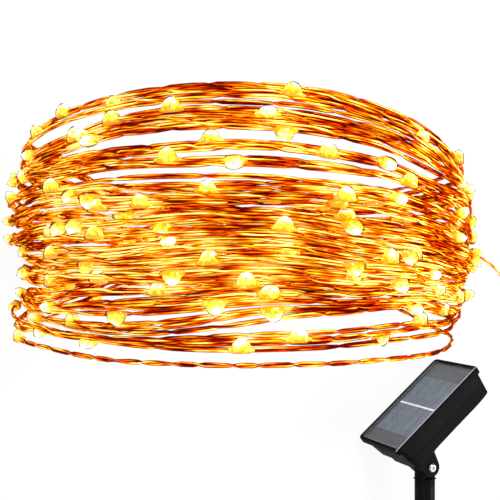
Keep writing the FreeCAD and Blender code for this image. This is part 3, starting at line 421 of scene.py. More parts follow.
@dataclass(frozen=True)
class PlatedSteel(Finish):
    """Bright plated steel with turning marks.

    Args:
        plate: colour of the plating.
        rough: mean roughness.
    """

    plate: Colour = (0.62, 0.62, 0.63)
    rough: float = 0.28

    def shader(self, sheet: Sheet) -> Channel:
        """Writes bright metal with duller marks.

        Args:
            sheet: the material's sheet.

        Returns:
            The surface.
        """
        marks = sheet.grain(1800.0, 4.0, 0.7)
        colour = sheet.mix(marks.spread(0.35, 0.65), *self.shades(self.plate, 0.55, 1.0))
        rough = marks.noise_to(-0.08, 0.1) + self.rough
        return sheet.surface(Base_Color=colour, Metallic=1.0, Roughness=rough,
                             Normal=sheet.bump(marks, 0.2, 0.00003))


@dataclass(frozen=True)
class SpeckledPaint(Finish):
    """Any plain coloured surface with a slight mottle.

    Args:
        paint: mean colour.
        mottle: how far the mottle moves the colour, as a share of it.
        rough: mean roughness.
        grain: grains a metre.
        gloss: specular level.
    """

    paint: Colour
    mottle: float = 0.25
    rough: float = 0.5
    grain: float = 900.0
    gloss: float = 0.5

    def shader(self, sheet: Sheet) -> Channel:
        """Writes two near shades of the colour, mottled.

        Args:
            sheet: the material's sheet.

        Returns:
            The surface.
        """
        fine = sheet.grain(self.grain, 3.0, 0.6)
        colour = sheet.mix(fine.noise_to(), *self.shades(self.paint, 1 - self.mottle, 1 + self.mottle))
        return sheet.surface(Base_Color=colour, Roughness=fine.noise_to(-0.06, 0.06) + self.rough,
                             Specular_IOR_Level=self.gloss, Normal=sheet.bump(fine, 0.15, 0.00003))


@dataclass(frozen=True)
class SolarSilicon(Finish):
    """Blue-grey silicon strips with faint collecting lines along and across them.

    Args:
        deep: darker colour of the crystals.
        pale: lighter colour of the crystals.
        line: colour of the collecting lines.
        line_gap: distance between the lines along the head, in metres.
        finger_gap: distance between the fainter lines across it.
    """

    deep: Colour = (0.095, 0.124, 0.165)
    pale: Colour = (0.140, 0.172, 0.218)
    line: Colour = (0.21, 0.245, 0.295)
    line_gap: float = 0.0019
    finger_gap: float = 0.0009

    def shader(self, sheet: Sheet) -> Channel:
        """Writes crystals of two sizes under the lines.

        Args:
            sheet: the material's sheet.

        Returns:
            The surface.
        """
        crystal = sheet.grain(700.0)
        blend = (sheet.grain(90.0, 3.0, 0.6) * 0.7 + crystal * 0.3).spread(0.35, 0.65)
        lines = sheet.stored("head_across").waves(self.line_gap).spread(0.5, 1.0, 0.0, 0.35)
        fingers = sheet.stored("head_along").waves(self.finger_gap).spread(0.2, 1.0, 0.0, 0.12)
        colour = sheet.mix(lines + fingers, sheet.mix(blend, self.deep, self.pale), self.line)
        return sheet.surface(Base_Color=colour, Roughness=crystal * 0.1 + 0.42, Specular_IOR_Level=0.3)


@dataclass(frozen=True)
class PanelBacking(Finish):
    """Grey backing of the solar panel, dark where it shows between the strips of silicon.

    Args:
        grey: colour of the plain bands.
        gap: colour between the strips.
        middle: middle of the strips along the head, in metres.
        reach: half their length along the head.
        height: height of the strips' middle above the table.
        rise: half the height that they cover.
    """

    grey: Colour = (0.082, 0.090, 0.104)
    gap: Colour = (0.028, 0.034, 0.044)
    middle: float = -0.002
    reach: float = 0.0268
    height: float = 0.0239
    rise: float = 0.0193

    def shader(self, sheet: Sheet) -> Channel:
        """Writes the grey with its dark middle.

        Args:
            sheet: the material's sheet.

        Returns:
            The surface.
        """
        fine = sheet.grain(300.0, 3.0, 0.6)
        away = abs(sheet.stored("head_along") - self.middle)
        beside = abs(sheet.stored("head_across") + self.height)
        between = (1.0 - away.above(self.reach)) * (1.0 - beside.above(self.rise))
        colour = sheet.mix(between, sheet.mix(fine.noise_to(), *self.shades(self.grey, 0.94, 1.06)), self.gap)
        return sheet.surface(Base_Color=colour, Roughness=fine.noise_to(0.45, 0.55), Specular_IOR_Level=0.3)


@dataclass(frozen=True)
class ClearCover(Finish):
    """Clear sheet that shows what is under it and reflects more at a glancing view, with painted highlights
    along its edges.

    Args:
        ior: refractive index for the reflection.
        shine: share of that reflection that is kept.
        upper: height of the upper long edge above the table, in metres.
        lower: height of the lower long edge.
        inner: place along the head of the edge beside the hinge.
        soft: how far each edge's painted highlight fades.
        clear: tint of what is seen through it.
        highlight_dim: darker colour of the painted highlights on the edges.
        bright: lighter colour of the painted highlights on the edges.
    """

    ior: float = 1.45
    shine: float = 0.4
    upper: float = 0.0431
    lower: float = 0.0029
    inner: float = -0.0396
    soft: float = 0.0004
    clear: Colour = (0.97, 0.975, 0.98)
    highlight_dim: Colour = (0.45, 0.46, 0.46)
    bright: Colour = (0.68, 0.69, 0.69)

    def shader(self, sheet: Sheet) -> Channel:
        """Writes the clear sheet, its faint smears and the painted highlights on its edges.

        Args:
            sheet: the material's sheet.

        Returns:
            The surface.
        """
        smear = sheet.grain(45.0, 3.0, 0.6)
        height = sheet.stored("head_across") * -1.0
        along = sheet.stored("head_along")
        # painted highlights: lighter colour along the upper, lower and inner edges, strongest on the upper
        # one
        edges = (height.spread(self.upper, self.upper + self.soft, 0.0, 0.85)
                 + height.spread(self.lower - self.soft, self.lower, 0.15, 0.0)
                 + along.spread(self.inner - self.soft, self.inner, 0.4, 0.0))
        through = sheet.node("ShaderNodeBsdfTransparent", None, self.clear)
        gloss = sheet.node("ShaderNodeBsdfAnisotropic", None, Color=(1.0, 1.0, 1.0),
                           Roughness=smear.noise_to(0.03, 0.09))
        outside = 1.0 - sheet.node("ShaderNodeNewGeometry", out="Backfacing")
        glance = sheet.node("ShaderNodeFresnel", None, self.ior) * outside
        # colour of the painted highlights on the edges
        highlight_colour = sheet.mix(smear.noise_to(), self.highlight_dim, self.bright)
        painted_highlight = sheet.surface(Base_Color=highlight_colour, Roughness=0.2)
        return sheet.blend(edges.clamped(), sheet.blend(glance * self.shine, through, gloss), painted_highlight)


@dataclass(frozen=True)
class CopperPair(Finish):
    """Clear-coated copper wire in long light and dark streaks, with painted shade along its edges, painted
    highlights in its brightest streaks and a painted gold glow near a light.

    Args:
        stops: colours from the darkest streak, deepened by the painted edge shade, to the brightest, whose
            cream end stands for painted highlights.
        glancing: colour of its shine at a glancing view.
        shine: strength of the painted glow: the wire gives off its own colour as light, though it is no lamp.
    """

    stops: tuple[tuple[float, Colour], ...] = (
        (0.0, (0.10, 0.002, 0.0001)),
        (0.2, (0.50, 0.014, 0.0002)),
        (0.43, (0.84, 0.10, 0.0006)),
        (0.64, (1.0, 0.34, 0.002)),
        (0.82, (1.0, 0.70, 0.015)),
        (1.0, (1.0, 0.90, 0.28)),
    )
    glancing: Colour = (1.0, 0.6, 0.01)
    shine: float = 0.3

    def shader(self, sheet: Sheet) -> Channel:
        """Writes the streaks along each strand, with painted highlights, painted shade and a painted glow,
        over what WireTones stored on the wire.

        Args:
            sheet: the material's sheet.

        Returns:
            The surface.
        """
        streak = sheet.grain(1.0, 2.0, 0.6, sheet.stored("lay", "Vector"))
        # painted glow: gold light from the drops, stored by distance, raises the colour
        glow = sheet.stored("glow").spread(0.0, 1.0, 0.0, 0.52)
        # painted shade: the strands' edges that face along the coil's axis are darker
        edge = sheet.stored("shade").spread(0.3, 0.95, 0.0, 0.8)
        tone = sheet.stored("tone").spread(0.1, 0.9, 0.13, 0.65)
        level = tone + streak.noise_to(-0.48, 0.48) + glow - edge
        colour = sheet.ramp(level.clamped(), *self.stops)
        # painted glow: the wire's colour is also given off as light
        return sheet.surface(Base_Color=colour, Roughness=streak.noise_to(0.3, 0.5), Metallic=0.45,
                             Specular_IOR_Level=0.0, Specular_Tint=self.glancing,
                             Emission_Color=colour, Emission_Strength=self.shine)


@dataclass(frozen=True)
class ResinDrop(Finish):
    """Clear resin over a warm light: white-hot in the dome, yellow in the skirt, with a thin olive rim.

    Args:
        rim: colour of the clear edge.
        stops: glow from the chip's carrier through the skirt to the dome's top.
        shine: strength of the glow.
    """

    rim: Colour = (0.34, 0.23, 0.03)
    stops: tuple[tuple[float, Colour], ...] = (
        (0.0, (0.72, 0.34, 0.0)),
        (0.2, (1.0, 0.66, 0.015)),
        (0.5, (1.0, 0.85, 0.09)),
        (0.76, (1.0, 0.99, 0.86)),
    )
    shine: float = 0.42

    def shader(self, sheet: Sheet) -> Channel:
        """Writes the glow by height, with swirls, and clear edges where the drop turns away.

        Args:
            sheet: the material's sheet.

        Returns:
            The surface.
        """
        swirl = sheet.grain(480.0, 2.0, 0.6)
        weakness = sheet.grain(70.0, 0.0).spread(0.38, 0.62, 0.18, 0.0)
        heat = sheet.stored("height") + swirl.noise_to(-0.28, 0.28) - weakness
        glow = sheet.ramp(heat.clamped(), *self.stops)
        light = sheet.surface(Base_Color=glow, Roughness=0.12, Emission_Color=glow,
                              Emission_Strength=self.shine)
        edge = sheet.node("ShaderNodeBsdfTransparent", None, self.rim)
        facing = sheet.node("ShaderNodeLayerWeight", None, 0.5, out="Facing")
        return sheet.blend(facing.spread(0.55, 0.82), light, edge)


@dataclass(frozen=True)
class WhiteTable(Finish):
    """White table top that photographs as pure white and keeps a faint shadow.

    Args:
        floor_light: how much of the white comes without any lamp.
    """

    floor_light: float = 0.90

    def shader(self, sheet: Sheet) -> Channel:
        """Writes a matt white that is also bright by itself where it is seen.

        Args:
            sheet: the material's sheet.

        Returns:
            The surface.
        """
        seen = sheet.rays("Camera", "Glossy", "Transmission").clamped() * self.floor_light
        plain = sheet.node("ShaderNodeBsdfDiffuse", None, (0.82, 0.82, 0.82))
        bright = sheet.node("ShaderNodeEmission", None, (1.0, 1.0, 1.0), 1.0)
        return sheet.blend(seen, plain, bright)


# ---------------------------------------------------------------- camera, lamps and table
def show(name: str, data: Any) -> bpy.types.Object:
    """Makes an object in the scene.

    Args:
        name: its name.
        data: its mesh, curve, lamp or camera.

    Returns:
        The object.
    """
    made = bpy.data.objects.new(name, data)
    bpy.context.scene.collection.objects.link(made)
    return made


@dataclass(frozen=True)
class Viewpoint:
    """The photograph's camera: a longish lens over the table, swung about the coil's axis.

    Args:
        place: where the camera is, in millimetres.
        target: what it looks at, in millimetres.
        up: the photograph's upward direction, along the coil's axis.
        focal_px: focal length in the photograph's pixels.
        frame_px: the photograph's width and height in pixels.
        sensor: width of the sensor in millimetres.
        clip: nearest and furthest distance seen, in metres.
    """

    place: Vector = field(default_factory=lambda: Vector((-348.874, 107.149, 470.580)))
    target: Vector = field(default_factory=lambda: Vector((-174.958, 107.149, 114.0)))
    up: Vector = field(default_factory=lambda: Vector((0.0, 1.0, 0.0)))
    focal_px: float = 800.0
    frame_px: float = 500.0
    sensor: float = 36.0
    clip: tuple[float, float] = (0.01, 20.0)

    @property
    def towards(self) -> Vector:
        """Direction from the target to the camera."""
        return (self.place - self.target).normalized()

    @property
    def right(self) -> Vector:
        """The photograph's rightward direction."""
        return self.up.cross(self.towards)

    def project(self, point: Vector) -> tuple[float, float, float]:
        """Finds a point in the photograph.

        Args:
            point: a place on the table, in metres.

        Returns:
            Its pixel column and row, and its distance before the camera in millimetres.
        """
        ray = point / MM - self.place
        depth = -ray.dot(self.towards)
        half = self.frame_px / 2
        return (half + self.focal_px * ray.dot(self.right) / depth,
                half - self.focal_px * ray.dot(self.up) / depth, depth)

    def build(self) -> None:
        """Makes the camera and makes it the scene's own."""
        data = bpy.data.cameras.new("camera")
        data.sensor_width = self.sensor
        data.lens = self.sensor * self.focal_px / self.frame_px
        data.clip_start, data.clip_end = self.clip
        camera = show("camera", data)
        turn = Matrix((self.right, self.up, self.towards)).transposed().to_4x4()
        camera.matrix_world = Matrix.Translation(self.place * MM) @ turn
        bpy.context.scene.camera = camera


@dataclass(frozen=True)
class Softbox:
    """A square lamp that points at a target.

    Args:
        name: the lamp's name.
        place: where it is, in metres.
        target: what it points at.
        size: its width.
        power: its strength in watts.
    """

    name: str
    place: Place
    target: Place
    size: float
    power: float

    def build(self) -> None:
        """Makes the lamp."""
        data = bpy.data.lights.new(self.name, "AREA")
        data.size, data.energy = self.size, self.power
        lamp = show(self.name, data)
        lamp.location = self.place
        lamp.rotation_mode = "QUATERNION"
        lamp.rotation_quaternion = (Vector(self.target) - Vector(self.place)).to_track_quat("-Z", "Y")


@dataclass
class Studio:
    """White table, white surroundings and soft lamps.

    Args:
        table_size: width of the table top in metres.
        table_drop: how far the table top lies under the object.
        sky: strength of the white surroundings as light.
        lamps: the lamps.
    """

    table_size: float = 6.0
    table_drop: float = 0.0002
    sky: float = 0.75
    lamps: tuple[Softbox, ...] = (
        Softbox("key", (-0.15, 0.75, 0.85), (0.0, 0.02, 0.03), 0.35, 6.0),
        Softbox("fill", (-0.9, -0.35, 0.7), (-0.15, 0.08, 0.08), 0.6, 2.2),
        Softbox("side", (0.8, -0.25, 0.75), (0.0, 0.0, 0.03), 0.4, 9.5),
    )

    def build(self) -> None:
        """Makes the table, the surroundings and the lamps."""
        self.build_table()
        self.build_surroundings()
        for lamp in self.lamps:
            lamp.build()

    def build_table(self) -> None:
        """Makes the table top, with its centre under the object."""
        half = self.table_size / 2
        mesh = bpy.data.meshes.new("table_top")
        corners = [(-half, -half, 0), (half, -half, 0), (half, half, 0), (-half, half, 0)]
        mesh.from_pydata(corners, [], [(0, 1, 2, 3)])
        mesh.materials.append(WhiteTable("white_table").build())
        table = show("table_top", mesh)
        table.location.z = -self.table_drop

    def build_surroundings(self) -> None:
        """Makes them white to the camera and through glass, and a plainer light elsewhere."""
        world = bpy.data.worlds.new("surroundings")
        world.use_nodes = True
        nodes = Nodes(world.node_tree)
        seen = nodes.rays("Camera", "Transmission")
        strength = nodes.node("ShaderNodeMapRange", None, seen, 0.0, 1.0, self.sky, 1.0)
        light = nodes.node("ShaderNodeBackground", None, (1.0, 1.0, 1.0), strength)
        nodes.end("ShaderNodeOutputWorld", light)
        bpy.context.scene.world = world


# ---------------------------------------------------------------- geometry nodes
class Recipe(Nodes):
    """A Geometry Nodes tree that is built in code, run once and left as a plain mesh."""

    def __init__(self, name: str) -> None:
        """Makes a tree with a geometry input and output.

        Args:
            name: its name.
        """
        super().__init__(bpy.data.node_groups.new(name, "GeometryNodeTree"))
        for way in ("INPUT", "OUTPUT"):
            self.tree.interface.new_socket("Geometry", in_out=way, socket_type="NodeSocketGeometry")
        self.start = self.tree.nodes.new("NodeGroupInput")
        self.values: dict[str, Any] = {}

    @property
    def source(self) -> Channel:
        """The geometry that the tree starts from."""
        return Channel(self, self.start.outputs[0])

    def size(self, name: str, value: Any, kind: str = "NodeSocketFloat") -> Channel:
        """Adds a named input.

        Args:
            name: the input's name.
            value: what the modifier gives it.
            kind: its socket type.

        Returns:
            The input's value.
        """
        made = self.tree.interface.new_socket(name, in_out="INPUT", socket_type=kind)
        self.values[made.identifier] = value
        return Channel(self, self.start.outputs[name])

    def stored(self, name: str, kind: str = "FLOAT_VECTOR") -> Channel:
        """Returns a value stored on the source's points."""
        return self.node("GeometryNodeInputNamedAttribute", {"data_type": kind}, Name=name)

    def sweep(self, path: Channel, sides: Any, radius: Channel) -> Channel:
        """Makes a round wire along a path.

        Args:
            path: the curve.
            sides: sides of the wire's section.
            radius: its radius in metres.

        Returns:
            The wire's mesh, with closed ends.
        """
        ring = self.node("GeometryNodeCurvePrimitiveCircle", Resolution=sides, Radius=radius)
        return self.node("GeometryNodeCurveToMesh", Curve=path, Profile_Curve=ring, Fill_Caps=True)

    def run(self, source: bpy.types.Object, last: Channel, material: bpy.types.Material,
            name: str) -> bpy.types.Object:
        """Runs the tree on an object and keeps the result as a plain mesh object.

        Args:
            source: the object that the tree starts from; it is removed.
            last: the geometry to finish.
            material: the material of the result.
            name: the new object's name.

        Returns:
            The new object.
        """
        real = self.node("GeometryNodeRealizeInstances", Geometry=last)
        dressed = self.node("GeometryNodeSetMaterial", Geometry=real, Material=material)
        self.end("NodeGroupOutput", self.node("GeometryNodeSetShadeSmooth", Geometry=dressed))
        modifier = source.modifiers.new(self.tree.name, "NODES")
        modifier.node_group = self.tree
        for identifier, value in self.values.items():
            modifier[identifier] = value
        depsgraph = bpy.context.evaluated_depsgraph_get()
        mesh = bpy.data.meshes.new_from_object(source.evaluated_get(depsgraph), depsgraph=depsgraph)
        source.modifiers.remove(modifier)
        bpy.data.objects.remove(source)
        mesh.name = name
        return show(name, mesh)


def store(mesh: bpy.types.Mesh, **layers: Sequence[Any]) -> None:
    """Stores values on a mesh's points.

    Args:
        mesh: the mesh.
        layers: a number or a vector for each point, by name.
    """
    for name, values in layers.items():
        if isinstance(values[0], float):
            layer = mesh.attributes.new(name, "FLOAT", "POINT")
            layer.data.foreach_set("value", values)
        else:
            layer = mesh.attributes.new(name, "FLOAT_VECTOR", "POINT")
            layer.data.foreach_set("vector", [part for value in values for part in value])


def nurbs_line(name: str, points: Sequence[Vector]) -> bpy.types.Object:
    """Makes a smooth line near points.

    Args:
        name: the line's name.
        points: its control points in millimetres.

    Returns:
        The line as one NURBS spline.
    """
    data = bpy.data.curves.new(name, "CURVE")
    data.dimensions = "3D"
    data.resolution_u = 6
    spline = data.splines.new("NURBS")
    spline.points.add(len(points) - 1)
    for target, point in zip(spline.points, points):
        target.co = (*(point * MM), 1.0)
    spline.order_u = 3
    spline.use_endpoint_u = True
    return show(name, data)


# ---------------------------------------------------------------- the string
def smooth(share: float) -> float:
    """Eases a share in and out, and keeps it between 0 and 1."""
    share = min(max(share, 0.0), 1.0)
    return share * share * (3 - 2 * share)


@dataclass
class Route:
    """The string's centreline, in metres.

    Args:
        points: places along it.
        runs: the length run at each.
    """

    points: list[Vector]
    runs: list[float] = field(default_factory=lambda: [0.0])

    def __post_init__(self) -> None:
        """Adds up the length along the points."""
        for before, after in zip(self.points, self.points[1:]):
            self.runs.append(self.runs[-1] + (after - before).length)

    @property
    def length(self) -> float:
        """The whole length."""
        return self.runs[-1]

    def at(self, run: float) -> tuple[Vector, Vector]:
        """Finds a place on the string.

        Args:
            run: length along it.

        Returns:
            The place, and the string's direction there.
        """
        low = min(max(bisect_right(self.runs, run) - 1, 0), len(self.runs) - 2)
        step = self.points[low + 1] - self.points[low]
        share = (run - self.runs[low]) / max(step.length, 1e-9)
        return self.points[low] + step * min(max(share, 0.0), 1.0), step.normalized()


@dataclass
class Winding:
    """How the string is wound: where each turn passes the coil's two ends, its near side and its tie.

    Args:
        view: the photograph's camera.
        centre: middle of the coil, in millimetres.
        barrel: how much smaller the coil is at its two rims, in millimetres.
        half_length: half the coil's length along its axis.
        near_radius: radius of a turn on the near side, on the mean.
        largest: largest radius of a turn.
        rims: lowest and highest place of a turn along the axis, from the coil's middle.
        points_a_turn: control points of the route in each turn.
        seed: seed of everything uneven.
    """

    view: Viewpoint
    centre: Vector = field(default_factory=lambda: Vector((-176.0, 115.0, 114.0)))
    barrel: float = 9.0
    half_length: float = 52.0
    near_radius: float = 110.0
    largest: float = 114.5
    rims: tuple[float, float] = (-50.5, 55.5)
    points_a_turn: int = 36
    seed: int = 11

    # Groups of turns where they cross the photograph's middle column, in its rows: lowest, highest, turns.
    GROUPS = ((349.0, 338.0, 4), (328.0, 182.0, 33), (177.0, 175.0, 1), (164.5, 157.0, 3), (147.5, 141.0, 3),
              (126.0, 105.5, 7), (98.0, 82.5, 5))
    # The loose turn's row there, how unevenly rows are spaced, and how far turns stray from winding order.
    LOOSE, ROW_SCATTER, ORDER_SCATTER = 365.0, 0.15, 6.0
    # Heights above the photograph's middle, in millimetres, of the lowest and highest turns: near side and
    # right end. At the left end: by the turn's share of the way from the lowest (0) to the highest (1).
    NEAR_HEIGHTS, RIGHT_HEIGHTS = (-42.5, 62.5), (-39.0, 36.0)
    LEFT_HEIGHTS = ((0.0, -37.5), (0.06, -31.5), (0.14, -28.5), (0.5, 4.5), (0.75, 27.0), (1.0, 48.5))
    # The middle and width of the band in which turns pass the tie.
    TIE_MIDDLE, TIE_BAND = 7.0, 40.0
    # How far turns reach from the axis: at both ends by that share, and the least and most elsewhere.
    LEFT_REACH = ((0.0, 119.5), (0.09, 118.0), (0.13, 110.0), (0.4, 106.5), (0.5, 113.0), (0.72, 112.5),
                  (0.85, 110.0), (1.0, 112.0))
    RIGHT_REACH = ((0.0, 106.0), (0.4, 104.5), (0.46, 108.5), (0.52, 108.5), (0.57, 103.0), (0.63, 107.0),
                   (0.85, 105.0), (1.0, 104.0))
    NEAR_REACH, TIE_REACH = (107.5, 112.0), (106.8, 110.8)
    # How much places scatter: heights at the left, the right and the tie, and reach at both ends.
    LEFT_SCATTER, RIGHT_SCATTER, TIE_SCATTER, REACH_SCATTER = 2.8, 2.5, 3.5, (-2.2, 1.6)
    # How much turns lean down to the right on the near side, by their height there.
    LEANS = ((-33.0, 0.0), (-30.0, -15.0), (-20.0, -5.0), (-10.0, 4.0), (15.9, 7.0), (16.1, 0.0))
    # Neighbouring turns sway together, more in the dense band of heights: the band, the sway in it and past
    # it, how often the sway changes in a radius round the coil, and in how many millimetres along it.
    DENSE_BAND, DENSE_SWAY, OPEN_SWAY, SWAY_ROUND, SWAY_ALONG = (-36.0, 14.0), 2.8, 1.6, 2.6, 20.0
    # Each turn also drifts by itself, along and out: millimetres, changes in a turn, a row of the noise.
    ALONG_DRIFTS, OUT_DRIFT = ((0.5, 4.1, 4.7), (0.4, 10.3, 1.3)), (1.4, 7.1, 9.1)
    # The coil starts at the tie's side, this far along the axis and out from it.
    START_HEIGHT, START_RADIUS = 8.0, 112.6
    # Angles about the axis, anticlockwise from the photograph's right.
    LEFT, NEAR, RIGHT, TIE, START = 180.0, 90.0, 0.0, -100.0, 240.0

    def near_heights(self, rng: random.Random) -> list[float]:
        """Puts the turns in winding order, back and forth along the coil, with the loose one last.

        Args:
            rng: where uneven values come from.

        Returns:
            Each turn's height on the near side, above the photograph's middle.
        """
        heights = []
        for low, high, count in self.GROUPS:
            step = (high - low) / max(count - 1, 1)
            heights += [self.near_height(low + step * (k + rng.uniform(-self.ROW_SCATTER, self.ROW_SCATTER)))
                        for k in range(count)]
        passes = [sorted(heights[start::3], key=lambda height: height + rng.gauss(0.0, self.ORDER_SCATTER))
                  for start in range(3)]
        return passes[1][::-1] + passes[0] + passes[2][::-1] + [self.near_height(self.LOOSE)]

    def near_height(self, row: float) -> float:
        """Finds how high a turn on the near side passes, by steps because its radius follows its height.

        Args:
            row: where it shows in the photograph.

        Returns:
            Its height above the photograph's middle.
        """
        view, height = self.view, 0.0
        away = (view.place - view.target).length
        for _ in range(4):
            offset = height + view.target.y - self.centre.y
            radius = self.near_radius - self.barrel * (offset / self.half_length) ** 2
            height = (view.frame_px / 2 - row) * (away - radius) / view.focal_px
        return height

    def stations(self) -> list[tuple[float, float, float, float]]:
        """Works out where each turn passes the coil's left, front, right and tie.

        Returns:
            Turn count, height, radius and lean at each station, in winding order.
        """
        rng = random.Random(self.seed)
        middle = self.view.target.y - self.centre.y
        rows = [(0.0, self.START_HEIGHT, self.START_RADIUS, 0.0)]
        lowest, highest = self.NEAR_HEIGHTS
        right_low, right_high = self.RIGHT_HEIGHTS
        for k, near in enumerate(self.near_heights(rng)):
            share = (near - lowest) / (highest - lowest)
            lean = self.between(self.LEANS, near)
            left = self.between(self.LEFT_HEIGHTS, share) + rng.gauss(0.0, self.LEFT_SCATTER) - lean
            right = right_low + (right_high - right_low) * share + rng.gauss(0.0, self.RIGHT_SCATTER) + lean
            tie = self.TIE_MIDDLE + (share - 0.5) * self.TIE_BAND
            tie += rng.uniform(-self.TIE_SCATTER, self.TIE_SCATTER)
            left_reach = self.between(self.LEFT_REACH, share) + rng.uniform(*self.REACH_SCATTER)
            near_reach = rng.uniform(*self.NEAR_REACH)
            right_reach = self.between(self.RIGHT_REACH, share) + rng.uniform(*self.REACH_SCATTER)
            for angle, height, radius in ((self.LEFT, left, left_reach), (self.NEAR, near, near_reach),
                                          (self.RIGHT, right, right_reach),
                                          (self.TIE, tie, rng.uniform(*self.TIE_REACH))):
                rows.append((k + (self.START - angle) / 360, height, radius, lean))
        low, high = self.rims
        return [(turn, min(max(height + middle, low), high), radius, lean)
                for turn, height, radius, lean in rows]

    @staticmethod
    def between(table: Sequence[tuple[float, float]], place: float) -> float:
        """Reads a value between a table's entries.

        Args:
            table: places, each with its value.
            place: the place to read at.

        Returns:
            The value there, or the nearest entry's past the ends.
        """
        for (low, before), (high, after) in zip(table, table[1:]):
            if place <= high:
                return before + (after - before) * max(place - low, 0.0) / (high - low)
        return table[-1][1]

    def control_points(self) -> list[Vector]:
        """Lists the route's points: the free stretch, then the coil's turns.

        Returns:
            The points in millimetres.
        """
        points = [Vector(point) for point in LEAD_ROUTE]
        rows = self.stations()
        index = 0
        for step in range(1, int(rows[-1][0] * self.points_a_turn) + 1):
            turn = step / self.points_a_turn
            angle = self.START - 360.0 * turn
            while index < len(rows) - 2 and rows[index + 1][0] < turn:
                index += 1
            (start, *before), (end, *after) = rows[index], rows[index + 1]
            share = smooth((turn - start) / (end - start))
            height, radius, lean = (low + (high - low) * share for low, high in zip(before, after))
            height -= lean * math.cos(math.radians(angle))
            sway = self.DENSE_SWAY if self.DENSE_BAND[0] < height < self.DENSE_BAND[1] else self.OPEN_SWAY
            along = Vector((0.0, height / self.SWAY_ALONG, 0.0))
            height += sway * self.uneven(self.spoke(angle) * self.SWAY_ROUND + along)
            height += sum(self.drift(turn, *drift) for drift in self.ALONG_DRIFTS)
            radius += self.drift(turn, *self.OUT_DRIFT)
            radius = min(radius - self.barrel * (height / self.half_length) ** 2, self.largest)
            points.append(self.centre + self.spoke(angle) * radius + Vector((0.0, height, 0.0)))
        return points

    @staticmethod
    def uneven(place: Vector) -> float:
        """Uneven value between about -1 and 1 that changes smoothly from place to place."""
        return 1.6 * noise.noise(place)

    def drift(self, turn: float, size: float, rate: float, row: float) -> float:
        """Uneven value of about this size that changes smoothly with the turn count."""
        return size * self.uneven(Vector((turn * rate, row, self.seed)))

    def spoke(self, angle: float) -> Vector:
        """Direction away from the axis at an angle from the photograph's right."""
        turn = math.radians(angle)
        return self.view.right * math.cos(turn) + self.view.towards * math.sin(turn)

    def outward(self, place: Vector) -> Vector:
        """Finds the way out from the coil's axis.

        Args:
            place: a place on the table, in metres.

        Returns:
            The direction away from the axis there.
        """
        away = place / MM - self.centre
        away.y = 0.0
        return away.normalized()


@dataclass(frozen=True)
class WireTones:
    """What a copper wire's colour follows, stored on its points.

    Args:
        fade: distance from a drop's dome at which its painted glow on the wire has fallen to 0.37, in
            millimetres.
        steep: how sharply the painted glow falls there.
        reach: distance past which there is none.
        brightest: most painted glow where drops are close together.
        lower_shade: how much of the upper edge's painted shade the strand's lower edge has.
        slow, quick: uneven changes of tone along a strand: size, changes a ring, change between strands, row.
        stretch: how far the streaks' noise goes for each millimetre of a strand.
        strand_gap: how far apart in the noise two strands are.
        girth: how far round the strand the noise goes.
    """

    fade: float = 6.4
    steep: float = 1.3
    reach: float = 22.0
    brightest: float = 1.5
    lower_shade: float = 0.75
    slow: tuple[float, float, float, float] = (0.75, 0.13, 7.7, 1.0)
    quick: tuple[float, float, float, float] = (0.6, 0.53, 3.3, 5.0)
    stretch: float = 0.085
    strand_gap: float = 7.7
    girth: float = 0.6

    def store_on(self, piece: bpy.types.Object, domes: Sequence[Vector], rings: int, sides: int,
                 gap: float) -> None:
        """Stores a painted glow by how near a light the wire is, painted shade on its edges, an uneven tone
        and its grain's lay.

        Args:
            piece: the wire, its points in rings along each strand.
            domes: the middle of each drop's dome.
            rings: rings of points in each strand.
            sides: points in each ring.
            gap: length of wire between rings, in millimetres.
        """
        tree = kdtree.KDTree(len(domes))
        for k, dome in enumerate(domes):
            tree.insert(dome, k)
        tree.balance()
        glow, shade, tone, lay = [], [], [], []
        for k, vertex in enumerate(piece.data.vertices):
            strand, ring = k // (rings * sides), k // sides
            # painted glow: light from the drops, summed by distance
            light = sum((math.exp(-((distance / (self.fade * MM)) ** self.steep))
                         for _, _, distance in tree.find_range(vertex.co, self.reach * MM)), 0.0)
            glow.append(min(light, self.brightest))
            # painted shade: edges that face up or down the coil's axis, by the point's normal
            shade.append(max(vertex.normal.y, -self.lower_shade * vertex.normal.y))
            tone.append(0.5 + sum(size * noise.noise(Vector((ring * rate, strand * apart, row)))
                                  for size, rate, apart, row in (self.slow, self.quick)))
            around = 2 * math.pi * (k % sides) / sides
            lay.append((ring * gap * self.stretch, strand * self.strand_gap + self.girth * math.cos(around),
                        self.girth * math.sin(around)))
        store(piece.data, glow=glow, shade=shade, tone=tone, lay=lay)


